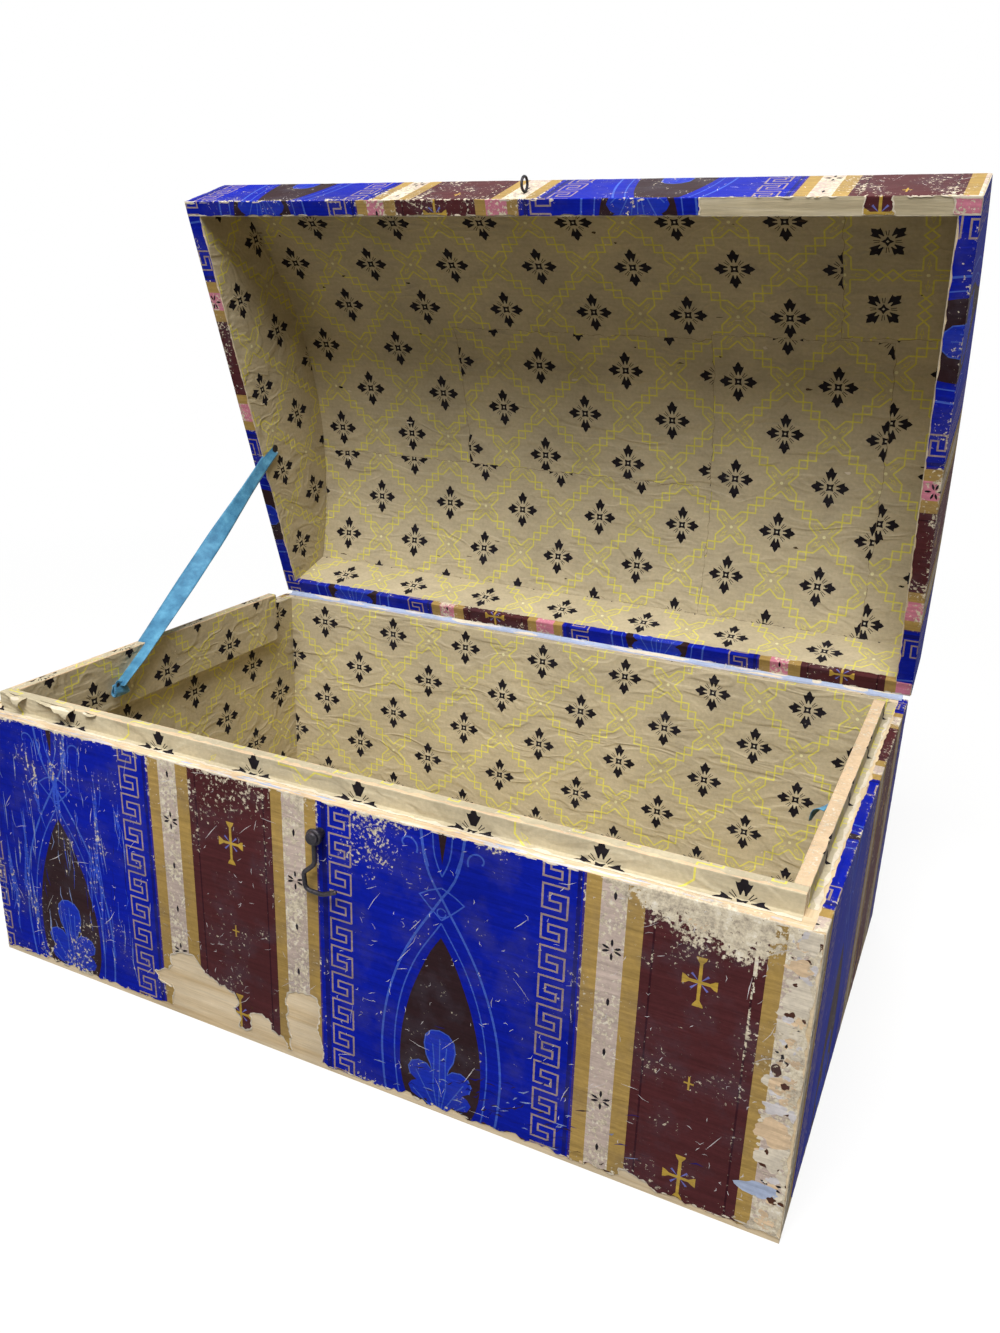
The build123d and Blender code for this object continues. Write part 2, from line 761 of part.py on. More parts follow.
# Hook screw: shank in the board, shoulder, pivot and domed head
hook_back = hook_standoff - hook_wire_radius - hook_play
hook_front = hook_standoff + hook_wire_radius + hook_play
with BuildPart() as hook_screw:
    with BuildSketch(hook_seat.offset(-hook_screw_depth)):
        Circle(hook_pin_radius)
    extrude(amount=hook_screw_depth + hook_front)
    with BuildSketch(hook_seat):
        Circle(hook_shoulder_radius)
    extrude(amount=hook_back)
    with BuildSketch(hook_seat.offset(hook_front)):
        Circle(hook_head_radius)
    extrude(amount=hook_head_thick)
    fillet(hook_screw.faces().sort_by(Axis.Y)[0].edges(), radius=hook_head_thick * 0.7)

# Wire hook: an eye on the screw, a straight shank, then a bend that comes back to the right
hook_plane = hook_seat.offset(hook_standoff)
hook_route = [
    (0, -hook_eye_radius),
    (0, -hook_shank_length),
    (-hook_bend_side, -hook_shank_length - hook_bend_side * 0.9),
    (-hook_bend_side * 0.85, -hook_reach + hook_wire_radius / 2),
    (hook_tail_right * 0.35, -hook_reach),
    (hook_tail_right, -hook_reach + hook_tail_lift),
]
hook_bends = [7.0, 4.5, 4.0, 12.0]
with BuildPart() as hook:
    with BuildLine(hook_plane) as hook_line:
        FilletPolyline(*hook_route, radius=hook_bends)
    with BuildSketch(Plane(origin=hook_line.line @ 0, z_dir=hook_line.line % 0)):
        Circle(hook_wire_radius)
    sweep()
    with Locations(hook_plane):
        Torus(hook_eye_radius, hook_wire_radius)
    with Locations(hook_line.line @ 1):
        Sphere(hook_wire_radius)

# Wire eye on the lid's front; its ring stands edge-on, so the hook passes through along X
with BuildPart() as lid_eye:
    with Locations(Plane(origin=lid_point(eye_x, eye_forward, eye_up), z_dir=(1, 0, 0))):
        Torus(eye_ring_radius, eye_wire_radius)
    with BuildSketch(eye_seat.offset(-eye_depth)):
        Circle(eye_wire_radius)
    extrude(amount=eye_depth + eye_centre_out - eye_ring_radius)

# Ribbon stay, pulled straight, with a folded end tacked at each side
with BuildPart() as ribbon:
    with BuildSketch(ribbon_plane.offset(-ribbon_thick / 2)):
        Rectangle(ribbon_run.length, ribbon_width)
    extrude(amount=ribbon_thick)
    with BuildSketch(body_tack_seat):
        Rectangle(ribbon_width, ribbon_fold_length)
    extrude(amount=body_tack_out)
    cut_tack_hole(body_tack_seat, body_tack_out)
    cut_tack_hole(lid_tack_seat, lid_tack_out)


def tack(seat, cloth_thick):
    # Head on the cloth, shank through it into the wood behind
    with BuildSketch(seat.offset(cloth_thick)) as section:
        Circle(tack_head_radius)
    extrude(section.sketch, amount=tack_head_thick)
    with BuildSketch(seat.offset(cloth_thick)) as section:
        Circle(tack_shank_radius)
    extrude(section.sketch, amount=-tack_length)


with BuildPart() as ribbon_body_tack:
    tack(body_tack_seat, body_tack_out)

with BuildPart() as ribbon_lid_tack:
    tack(lid_tack_seat, lid_tack_out)

# Torn end of the second ribbon, on the right lip's inner face
stub_seat = Plane(
    origin=(end_inner_x - lip_thick - paper_thick, -ribbon_body_forward, lip_top_z - stub_rise),
    x_dir=(0, 1, 0),
    z_dir=(-1, 0, 0),
)
with BuildPart() as ribbon_stub:
    with BuildSketch(stub_seat):
        Rectangle(ribbon_width, ribbon_fold_length)
    extrude(amount=ribbon_thick)
    with BuildSketch(stub_seat.offset(ribbon_thick)):
        with Locations((0, ribbon_fold_length / 2 - ribbon_thick)):
            Rectangle(ribbon_width, 2 * ribbon_thick)
    extrude(amount=stub_length)

pieces = {
    "bottom_board": bottom_board,
    "front_board": front_board,
    "back_board": back_board,
    "left_end_board": left_end_board,
    "right_end_board": right_end_board,
    "front_lip": front_lip,
    "left_lip": left_lip,
    "right_lip": right_lip,
    "corner_nails": corner_nails,
    "bottom_nails": bottom_nails,
    "lip_pins": lip_pins,
    "front_paper": front_paper,
    "back_paper": back_paper,
    "left_end_paper": left_end_paper,
    "right_end_paper": right_end_paper,
    "floor_lining": floor_lining,
    "front_lining": front_lining,
    "back_lining": back_lining,
    "left_lining": left_lining,
    "right_lining": right_lining,
    "left_hinge_body_leaf": left_hinge_body_leaf,
    "right_hinge_body_leaf": right_hinge_body_leaf,
    "left_hinge_pin": left_hinge_pin,
    "right_hinge_pin": right_hinge_pin,
    "body_hinge_nails": body_hinge_nail_set,
    "hook_screw": hook_screw,
    "ribbon": ribbon,
    "ribbon_body_tack": ribbon_body_tack,
    "ribbon_stub": ribbon_stub,
    "hook": hook,
    "lid_front_rail": lid_front_rail,
    "lid_back_rail": lid_back_rail,
    "lid_left_end": lid_left_end,
    "lid_right_end": lid_right_end,
    "lid_top_back_board": lid_top_back_board,
    "lid_top_middle_board": lid_top_middle_board,
    "lid_top_front_board": lid_top_front_board,
    "lid_rail_nails": lid_rail_nails,
    "lid_top_nails": lid_top_nails,
    "lid_top_paper": lid_top_paper,
    "lid_front_paper": lid_front_paper,
    "lid_back_paper": lid_back_paper,
    "lid_left_paper": lid_left_paper,
    "lid_right_paper": lid_right_paper,
    "lid_top_lining": lid_top_lining,
    "lid_front_lining": lid_front_lining,
    "lid_back_lining": lid_back_lining,
    "lid_left_lining": lid_left_lining,
    "lid_right_lining": lid_right_lining,
    "left_hinge_lid_leaf": left_hinge_lid_leaf,
    "right_hinge_lid_leaf": right_hinge_lid_leaf,
    "lid_hinge_nails": lid_hinge_nail_set,
    "lid_eye": lid_eye,
    "ribbon_lid_tack": ribbon_lid_tack,
}
for name, piece in pieces.items():
    piece.part.label = name
    export_step(piece.part, "parts/" + name + ".step")
print(len(pieces), "pieces written")
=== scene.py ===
import math
import bpy
import numpy as np
from mathutils import Matrix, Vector
from mathutils.geometry import delaunay_2d_cdt


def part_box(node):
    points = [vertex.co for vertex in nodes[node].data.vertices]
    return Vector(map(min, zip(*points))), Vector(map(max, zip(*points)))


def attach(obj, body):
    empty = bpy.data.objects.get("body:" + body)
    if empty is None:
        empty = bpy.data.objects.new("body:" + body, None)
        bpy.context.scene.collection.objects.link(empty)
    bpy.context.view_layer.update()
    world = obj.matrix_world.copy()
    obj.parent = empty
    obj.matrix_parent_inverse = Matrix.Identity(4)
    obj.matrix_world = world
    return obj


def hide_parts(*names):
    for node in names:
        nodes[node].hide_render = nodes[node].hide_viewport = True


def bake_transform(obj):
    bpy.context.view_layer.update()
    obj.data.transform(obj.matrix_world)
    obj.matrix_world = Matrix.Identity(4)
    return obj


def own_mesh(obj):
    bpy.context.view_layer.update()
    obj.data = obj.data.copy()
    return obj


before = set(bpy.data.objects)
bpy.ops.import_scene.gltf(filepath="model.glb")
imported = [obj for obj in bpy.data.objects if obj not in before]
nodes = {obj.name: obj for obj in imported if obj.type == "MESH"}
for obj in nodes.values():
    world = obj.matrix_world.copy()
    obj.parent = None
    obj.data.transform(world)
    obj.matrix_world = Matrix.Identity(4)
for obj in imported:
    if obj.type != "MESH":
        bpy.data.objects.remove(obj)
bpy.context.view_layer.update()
print("frame loaded,", len(nodes), "nodes")

# All lengths below are millimetres; meshes are written in metres
mm = 0.001

# Camera: its direction, roll and place follow from the box's square corners
camera = {
    "azimuth": 25.257, "elevation": 19.274, "roll": 1.82, "place": (344.66, -668.38, 494.28),
    "lens": 28.76, "sensor": 36, "far": 50,
}


def stand(obj, place, axes):
    # Links an object and puts it at a place in metres, with its own axes given as rows
    bpy.context.scene.collection.objects.link(obj)
    obj.matrix_world = Matrix.Translation(place) @ Matrix(np.transpose(axes).tolist()).to_4x4()


def addCamera():
    # back runs from the box to the camera; right and up are turned by the roll about it
    a, e, r = (math.radians(camera[k]) for k in ("azimuth", "elevation", "roll"))
    back = np.array([math.sin(a) * math.cos(e), -math.cos(a) * math.cos(e), math.sin(e)])
    right = np.cross(-back, [0, 0, 1])
    right /= np.linalg.norm(right)
    up = np.cross(right, -back)
    data = bpy.data.cameras.new("camera")
    data.sensor_fit, data.sensor_height = "VERTICAL", camera["sensor"]
    data.lens, data.clip_end = camera["lens"], camera["far"]
    obj = bpy.data.objects.new("camera", data)
    axes = [math.cos(r) * right + math.sin(r) * up, math.cos(r) * up - math.sin(r) * right, back]
    stand(obj, np.array(camera["place"]) * mm, axes)
    bpy.context.scene.camera = obj


addCamera()


def linear(hexColour):
    # sRGB hex to linear RGB
    c = np.array([int(hexColour[i:i + 2], 16) / 255 for i in (1, 3, 5)])
    return np.where(c <= 0.04045, c / 12.92, ((c + 0.055) / 1.055) ** 2.4)


def addNode(tree, kind, links=None, **settings):
    # One node with its settings. links maps an input's name or place to a value, to another node's
    # output, or to a node, which stands for its first output in use
    node = tree.nodes.new("ShaderNode" + kind)
    for key, value in settings.items():
        setattr(node, key, value)
    for key, value in (links or {}).items():
        if isinstance(value, bpy.types.Node):
            value = next(output for output in value.outputs if output.enabled)
        if isinstance(value, bpy.types.NodeSocket):
            tree.links.new(value, node.inputs[key])
        else:
            node.inputs[key].default_value = value
    return node


def newMaterial(name):
    material = bpy.data.materials.new(name)
    material.use_nodes = True
    material.node_tree.nodes.clear()
    return material, material.node_tree


def rampStops(node, stops):
    # stops: (place, hex) pairs
    elements = node.color_ramp.elements
    while len(elements) < len(stops):
        elements.new(0.5)
    for element, (place, colour) in zip(elements, stops):
        element.position = place
        element.color = (*linear(colour), 1)
    return node


studio = {
    # watts, place in metres and size of each lamp
    "lamps": {
        "key": (118, (0.3, -1.45, 2.6), 1.5), "fill": (4, (-0.9, -2.2, 0.9), 1.6),
        "top": (8, (0.1, 0.1, 2.6), 1.6), "back": (22, (-0.5, 2.3, 1.7), 1.6),
    },
    "target": (0, 0, 0.2), "world": 0.1, "floorHalf": 40, "floorColour": "#F6F5F3", "floorBounce": 0.12,
    "glow": (0.84, 1.0), "glowWithin": (0.5, 1.7),
}


def addLamp(name, power, place, size):
    # An area lamp shines along its own -z, so its z axis runs from the target to the lamp
    data = bpy.data.lights.new(name, "AREA")
    data.energy, data.size = power, size
    z = np.array(place) - np.array(studio["target"])
    z /= np.linalg.norm(z)
    x = np.cross([0, 0, 1], z)
    x /= np.linalg.norm(x)
    stand(bpy.data.objects.new(name, data), place, [x, np.cross(z, x), z])


def lookedAt(tree):
    # 1 where the camera, a gloss or a clear body looks, 0 for the light that falls on the object
    path = addNode(tree, "LightPath")
    seen = addNode(tree, "Math", {0: path.outputs["Is Camera Ray"], 1: path.outputs["Is Glossy Ray"]},
                   operation="MAXIMUM")
    return addNode(tree, "Math", {0: seen, 1: path.outputs["Is Transmission Ray"]}, operation="MAXIMUM")


def addWorld():
    world = bpy.data.worlds.new("world")
    bpy.context.scene.world = world
    world.use_nodes = True
    tree = world.node_tree
    tree.nodes.clear()
    strength = addNode(tree, "MapRange", {"Value": lookedAt(tree), "To Min": studio["world"], "To Max": 1.0})
    sky = addNode(tree, "Background", {"Color": (1, 1, 1, 1), "Strength": strength})
    addNode(tree, "OutputWorld", {"Surface": sky})


def addFloor():
    # A flat sheet of paper-white, with a glow only for what looks straight at it: full white far from
    # the box, weaker near it, where the shadow lies
    h = studio["floorHalf"]
    mesh = bpy.data.meshes.new("floor")
    mesh.from_pydata([(-h, -h, 0), (h, -h, 0), (h, h, 0), (-h, h, 0)], [], [(0, 1, 2, 3)])
    floor = bpy.data.objects.new("floor", mesh)
    bpy.context.scene.collection.objects.link(floor)
    material, tree = newMaterial("floorPaper")
    seen = lookedAt(tree)
    away = addNode(tree, "VectorMath", {0: addNode(tree, "TexCoord").outputs["Object"]}, operation="LENGTH")
    (near, far), (low, high) = studio["glowWithin"], studio["glow"]
    glowing = addNode(tree, "MapRange", {"Value": away, "From Min": near, "From Max": far, "To Min": low,
                                         "To Max": high})
    part = addNode(tree, "Math", {0: seen, 1: glowing}, operation="MULTIPLY")
    seenColour, bounced = (*linear(studio["floorColour"]), 1), (*[studio["floorBounce"]] * 3, 1)
    shade = addNode(tree, "Mix", {"Factor": seen, 6: bounced, 7: seenColour}, data_type="RGBA")
    matt = addNode(tree, "BsdfDiffuse", {"Color": shade})
    glow = addNode(tree, "Emission", {"Color": (1, 1, 1, 1), "Strength": 1.0})
    both = addNode(tree, "MixShader", {0: part, 1: matt, 2: glow})
    addNode(tree, "OutputMaterial", {"Surface": both})
    mesh.materials.append(material)


for name, lamp in studio["lamps"].items():
    addLamp(name, *lamp)
addWorld()
addFloor()
bpy.context.scene.view_settings.view_transform = "Standard"
print("camera and studio set")

# The box and the lid, with the CAD's sizes. The lid's are in its own section: forward of the hinge and up
box = {
    "endX": 300.0, "frontY": -186.2, "backY": 186.2, "wall": 12.0, "end": 13.0, "rim": 200.0, "floor": 7.0,
    "rimTurn": 6.5, "paperBottom": 3.0, "lipThick": 8.0, "lipTop": 212.4, "lipBottom": 167.4,
    "lipFrontY": -165.8, "lipBackY": 138.2,
}
lid = {
    "axisY": 188.8, "axisZ": 200.6, "openAngle": 71.4, "endX": 301.2, "endInner": 289.2,
    "back": 2.6, "backInner": 13.6, "frontInner": 365.2, "front": 376.2, "rim": 0.6, "railTop": 53.6,
    "archRadius": 334.59, "archInner": 326.59, "archCentre": -223.99, "middle": 189.4,
}
paper = 0.4
boxLong, boxDeep, paperTall = 2 * box["endX"], 2 * box["backY"], box["rim"] - box["paperBottom"]
innerX, innerFront = box["endX"] - box["end"], box["frontY"] + box["wall"]
innerBack, innerLong = box["backY"] - box["wall"], 2 * innerX
lidLong, lidInnerLong = 2 * lid["endX"], 2 * lid["endInner"]
openSin, openCos = math.sin(math.radians(lid["openAngle"])), math.cos(math.radians(lid["openAngle"]))
sideName = {-1: "left", 1: "right"}


def onBody(x, y, z):
    return np.stack(np.broadcast_arrays(x, y, z), -1) * mm


def lidSection(forward, up):
    # The lid's own section turned open about the hinge, as y and z of the box
    return lid["axisY"] - openCos * forward + openSin * up, lid["axisZ"] + openSin * forward + openCos * up


def onLid(x, forward, up):
    return onBody(x, *lidSection(forward, up))


def lidWay(forward, up):
    # A direction in the lid's section, as it points in the open lid
    return onLid(0, forward, up) - onLid(0, 0.0, 0.0)


# Each ink's colour and how easily it has rubbed off; from core to rust they are what wear has left or brought.
# Of the last three, the first is painted shade in holes and nicks, the second is dirt that also paints the
# shade in the curls' creases, and the third is a painted shadow line along the edges of overlapping sheets
inks = {
    "blue": ("#0A1B98", 0.02), "blueDark": ("#10146C", 0.02), "blueLine": ("#3F5CBA", 0.06),
    "blueLeaf": ("#1B31AE", 0.04), "purple": ("#3B2A78", 0.2), "gold": ("#A88A4E", 0.08),
    "taupe": ("#C0ADA1", 0.42), "pink": ("#CE7F92", 0.3), "maroon": ("#4C2527", 0.13),
    "maroonDark": ("#34141B", 0.2), "brown": ("#2B1A1D", 0.04), "goldPale": ("#B8973F", 0.1),
    "key": ("#9C8782", 0.05), "violet": ("#6C6FB4", 0.1), "black": ("#1D191D", 0.04),
    "tan": ("#BCAE90", 0.04), "tanTint": ("#BCAE8A", 0.04), "yellow": ("#D9CF64", 0.03),
    "paleYellow": ("#E0D9A6", 0.0), "dot": ("#C9BFA6", 0.0), "cream": ("#C0B497", 0.04),
    "core": ("#D9CDB8", 0.0), "scratch": ("#CFC9C8", 0.0), "peach": ("#D9BD9A", 0.1),
    "blueRub": ("#3450BE", 0.2), "haze": ("#7C8BB4", 0.2), "cloud": ("#A9B4CC", 0.1),
    "rust": ("#4B2E22", 0.0), "shadow": ("#17130F", 0.0), "grime": ("#4A3B2C", 0.0), "seam": ("#8C7C60", 0.0),
}


def rect(u0, v0, u1, v1):
    return np.array([(u0, v0), (u1, v0), (u1, v1), (u0, v1)], float)


def disc(u, v, ru, rv=None, count=14):
    t = np.arange(count) * 2 * np.pi / count
    return np.stack([u + ru * np.cos(t), v + (rv or ru) * np.sin(t)], 1)


def spot(u, v, ru, rv, seed, count=16):
    # A rough spot: every direction has its own random reach, so the outline never crosses itself
    reach = np.random.default_rng(int(seed)).uniform(0.4, 1.45, count)[:, None]
    reach = (np.roll(reach, 1, 0) + 2 * reach + np.roll(reach, -1, 0)) / 4
    return disc(0, 0, ru, rv, count) * reach + (u, v)


def turned(shape, angle, centre=(0, 0)):
    s, c = math.sin(math.radians(angle)), math.cos(math.radians(angle))
    return (np.asarray(shape, float) - centre) @ np.array([[c, s], [-s, c]]) + centre


def walked(points):
    # The length of a line from its start to each of its points
    return np.concatenate([[0], np.cumsum(np.linalg.norm(np.diff(points, axis=0), axis=1))])


def stroke(points, width):
    # A band around a line: each point moves to both sides along its mitred normal
    line = np.asarray(points, float)
    d = np.diff(line, axis=0)
    d /= np.linalg.norm(d, axis=1)[:, None]
    n = np.stack([-d[:, 1], d[:, 0]], 1)
    mitre = np.vstack([n[:1], n[:-1] + n[1:], n[-1:]])
    mitre /= np.maximum((mitre * np.vstack([n[:1], n])).sum(1), 0.35)[:, None]
    side = mitre * (np.asarray(width) / 2 * np.ones(len(line)))[:, None]
    return np.vstack([line + side, (line - side)[::-1]])


def tapered(points, width, tip=0.15):
    # A stroke of three points, thin at both ends
    return stroke(points, np.array([tip, width, tip]))


def ragged(points, step, reach, seed):
    # A closed outline walked in steps, each pushed by two sizes of random wander
    line = np.vstack([points, points[:1]])
    run = walked(line)
    count = max(int(run[-1] / step), 4)
    at = np.linspace(0, run[-1], count, endpoint=False)
    fine = np.random.default_rng(seed).normal(0, 1, (count, 2))
    broad = np.roll(fine, 1, 0) + fine + np.roll(fine, -1, 0)
    return np.stack([np.interp(at, run, line[:, k]) for k in (0, 1)], 1) + reach * (0.3 * fine + 0.35 * broad)


def jagged(u0, v0, u1, v1, seed, reach):
    # A rectangle whose sides wander: reach is for the top, right, bottom and left side
    random = np.random.default_rng(seed)
    corners = rect(u0, v0, u1, v1)
    sides = []
    for k, inward in enumerate([(0, 1), (-1, 0), (0, -1), (1, 0)]):
        a, b = corners[k], corners[(k + 1) % 4]
        count = max(int(np.linalg.norm(b - a) / 3), 2)
        t = np.linspace(0, 1, count, endpoint=False)[:, None]
        walk = np.convolve(random.normal(0, 1, count + 4), [0.25, 0.5, 1, 0.5, 0.25], "same")[2:-2]
        sides.append(a + (b - a) * t + np.array(inward) * (reach[k] * np.abs(walk))[:, None])
    return np.vstack(sides)


def anticlockwise(shape):
    # The sign of the area, summed over the sides, says which way the outline runs
    x, y = shape.T
    return shape[::-1] if (x * np.roll(y, -1) - y * np.roll(x, -1)).sum() < 0 else shape


def bareEdge(shape, grow):
    # The pale core shows as a rim round each tear: the outline pushed out along its normals
    line = anticlockwise(np.asarray(shape, float))
    t = np.roll(line, -1, 0) - np.roll(line, 1, 0)
    t /= np.maximum(np.linalg.norm(t, axis=1), 1e-6)[:, None]
    size = grow * np.random.default_rng(5).uniform(0.3, 1.5, len(line))
    return line + np.stack([t[:, 1], -t[:, 0]], 1) * size[:, None]


def reaching(shapes, u0, v0, u1, v1):
    # The shapes that reach into a window
    return [(s, ink) for s, ink in shapes if (s.max(0) > (u0, v0)).all() and (s.min(0) < (u1, v1)).all()]


def shifted(shapes, du, dv):
    return [(s + (du, dv), ink) for s, ink in shapes]


def pick(random, choice):
    # A name stands for itself, a list has equal chances and a dictionary gives each ink its share
    if isinstance(choice, str):
        return choice
    return random.choice(list(choice), p=list(choice.values()) if isinstance(choice, dict) else None)


def crumbs(random, count, window, sizes, seed, choice):
    # Rough spots: place, half length and half height are drawn from their ranges in turn, then the ink
    (u0, v0, u1, v1), (long0, long1, tall0, tall1) = window, sizes
    shapes = []
    for _ in range(count):
        u, v = random.uniform(u0, u1), random.uniform(v0, v1)
        shape = spot(u, v, random.uniform(long0, long1), random.uniform(tall0, tall1), u * seed)
        shapes.append((shape, pick(random, choice)))
    return shapes


def scratches(u0, v0, u1, v1, count, seed):
    random = np.random.default_rng(seed)
    shapes = []
    for _ in range(count):
        u, v = random.uniform(u0, u1), random.uniform(v0, v1)
        angle = random.normal(-0.9, 0.6)
        length = random.uniform(1.5, 5) * (1 + 2.5 * (random.random() > 0.85))
        line = np.array([(0, 0), (0.5 * length, random.normal(0, 0.6)), (length, 0)])
        line = turned(line, math.degrees(angle)) + (u, v)
        shapes.append((tapered(line, random.uniform(0.2, 0.55), 0.1), "scratch"))
    return shapes


def cutSheet(outline, prints, holes, folds, pitch):
    # The outline, its printed shapes and the holes go into one constrained triangulation. Each triangle
    # takes the ink of the last shape that holds it, and those in a hole are dropped
    shapes = [(outline, "ground"), *prints, *((hole, "hole") for hole in holes)]
    low, high = outline.min(0), outline.max(0)
    kept = []
    for shape, ink in shapes:
        if (shape.max(0) >= low).all() and (shape.min(0) <= high).all():
            kept.append((anticlockwise(np.asarray(shape, float)), ink))
    points, faces, edges = [], [], []
    for shape, ink in kept:
        faces.append(list(range(len(points), len(points) + len(shape))))
        points.extend(shape.tolist())
    for fold in folds:
        edges.append((len(points), len(points) + 1))
        points.extend([(low[0] - 1, fold), (high[0] + 1, fold)])
    gridU, gridV = (np.arange(a + pitch / 2, b, pitch) for a, b in zip(low, high))
    if len(gridU) and len(gridV):
        grid = np.stack(np.meshgrid(gridU, gridV), -1).reshape(-1, 2)
        points.extend((grid + np.random.default_rng(3).uniform(-0.2, 0.2, grid.shape) * pitch).tolist())
    flat, _, triangles, _, _, owners = delaunay_2d_cdt(points, edges, faces, 0, 1e-4, True)
    chosen = [(t, kept[max(o)][1]) for t, o in zip(triangles, owners) if 0 in o and kept[max(o)][1] != "hole"]
    return np.array([tuple(q) for q in flat]), np.array([t for t, ink in chosen]), [ink for t, ink in chosen]


def paperSheet(outline, prints, place, facing, ground, holes=(), folds=(), pitch=9.0, worn=None):
    # place(u, v) gives the sheet's surface in metres, facing the way it looks
    uv, triangles, ink = cutSheet(outline, prints, holes, folds, pitch)
    xyz = place(uv[:, 0], uv[:, 1])
    a, b, c = (xyz[triangles[:, k]] for k in range(3))
    if np.dot(np.cross(b - a, c - a).sum(0), facing) < 0:
        triangles = triangles[:, ::-1]
    wear = worn(uv[:, 0], uv[:, 1]) if worn else np.zeros(len(uv))
    return xyz, triangles, [ground if i == "ground" else i for i in ink], wear


def buildPiece(name, sheets, body, node, material, thick=0.28):
    # Sheets of one piece joined in one mesh, with ink and wear as attributes. The body or node is None
    # where the caller sets it
    xyz, wear = (np.concatenate([s[k] for s in sheets]) for k in (0, 3))
    starts = np.cumsum([0] + [len(s[0]) for s in sheets])
    triangles = np.vstack([s[1] + start for s, start in zip(sheets, starts)])
    used, order = np.unique(triangles, return_inverse=True)
    mesh = bpy.data.meshes.new(name)
    mesh.from_pydata(xyz[used].tolist(), [], order.reshape(-1, 3).tolist())
    table = {key: (*linear(colour), rub) for key, (colour, rub) in inks.items()}
    perCorner = np.repeat([table[i] for s in sheets for i in s[2]], 3, axis=0)
    layer = mesh.attributes.new("ink", "FLOAT_COLOR", "CORNER")
    layer.data.foreach_set("color", perCorner.astype(np.float32).ravel())
    layer = mesh.attributes.new("worn", "FLOAT", "POINT")
    layer.data.foreach_set("value", wear[used].astype(np.float32))
    mesh.materials.append(material)
    mesh.materials.append(torn)
    obj = bpy.data.objects.new(name, mesh)
    bpy.context.scene.collection.objects.link(obj)
    solid = obj.modifiers.new("thickness", "SOLIDIFY")
    solid.thickness, solid.offset = thick * mm, -1
    solid.material_offset_rim, solid.use_even_offset = 1, False
    if body:
        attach(obj, body)
    if node:
        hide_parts(node)
    print(name, len(mesh.polygons), "triangles")
    return obj


# The wallpaper: printed stripes, key fret, crosses, sprigs and pointed arches. Lines are written as
# (across, down) from the arch's middle, half-widths as (down, half-width)
wallpaper = {
    "repeat": 312.6, "rise": 264.0, "archCentre": 88.6, "crossCentre": 245.0,
    "stripes": [
        (0, 178, "blue"), (178, 187, "gold"), (187, 202, "taupe"), (202, 212, "gold"), (212, 278.5, "maroon"),
        (278.5, 287, "gold"), (287, 304, "taupe"), (304, 312.6, "gold"),
        (4, 7.5, "blueDark"), (173, 175.5, "blueDark"), (0, 1.2, "purple"), (176.6, 178, "purple"),
        (217.4, 218.6, "maroonDark"), (272, 273.2, "maroonDark"),
    ],
    "keyColumns": [(9.5, 0.0), (152.5, 13.8)], "keyPitch": 20.0, "keyLine": 1.25,
    "keyUnit": [(15.4, 0), (0, 0), (0, 15.2), (11.2, 15.2), (11.2, 10.2), (4.4, 10.2), (4.4, 5.4),
                (15.4, 5.4), (15.4, 20)],
    "crossPitch": 66, "crossFrom": 48, "crossTall": (31, 9), "ray": [(0.5, -0.5), (5.2, -4.2), (4.2, -5.2)],
    "sprigPitch": 34, "sprigColumns": [(195, 44), (295.5, 27)],
    "seed": [(0, -0.9), (0.9, 1.2), (0.75, 3.4), (0, 4.8), (-0.75, 3.4), (-0.9, 1.2)],
    "lens": [(70, 0), (80, 7), (98, 14.5), (115, 21), (133, 25.5), (150, 28.3), (168, 29), (185, 27.5),
             (195, 23.5), (210, 17), (230, 9.5), (250, 5), (264, 3), (284.5, 0)],
    "innerBand": [(60, 0), (70, 6), (82, 14), (95, 20), (111, 26), (128, 30), (146, 32.5), (165, 33),
                  (196, 30), (215, 23), (235, 14), (250, 8.5), (264, 6), (273, 6.5), (282, 5.5), (292.5, 0)],
    "outerBand": [(43, 0), (50, 4), (62, 12), (76, 20), (90, 27), (105, 32.5), (120, 37), (135, 40),
                  (160, 42.5), (196, 40), (215, 34), (235, 25), (250, 18), (264, 14), (276, 13.7), (288, 11),
                  (300, 6), (307, 0)],
    "palmette": [(0, 137), (6, 138.5), (10, 143), (11, 150), (9.5, 158), (6.5, 164), (5.5, 168.5), (9, 165),
                 (15, 164), (20, 166.5), (22.5, 171.5), (21, 177), (16.5, 180), (20, 182), (22.5, 186),
                 (20, 191), (14, 193.5), (9, 192), (8, 199), (0, 199)],
    "veins": [[(2, 199), (9, 186), (17, 172)], [(1, 199), (4.5, 180), (4, 160), (5, 148)],
              [(3, 199), (12, 193), (19, 187)]],
    "points": [[(14, 0), (12.5, 12), (9, 24)], [(0, 36), (9, 40), (15, 44), (8, 51), (0, 58)]],
    "scrollAt": (24, 13), "ringAt": 53, "stem": (0.4, 143, 199),
}


def smoothLine(table, count=40):
    # Half-width against height, rounded between the measured points
    v, w = np.array(table, float).T
    at = np.linspace(v[0], v[-1], count)
    width = np.interp(at, v, w)
    for _ in range(2):
        width[1:-1] = (width[:-2] + 2 * width[1:-1] + width[2:]) / 4
    return at, width


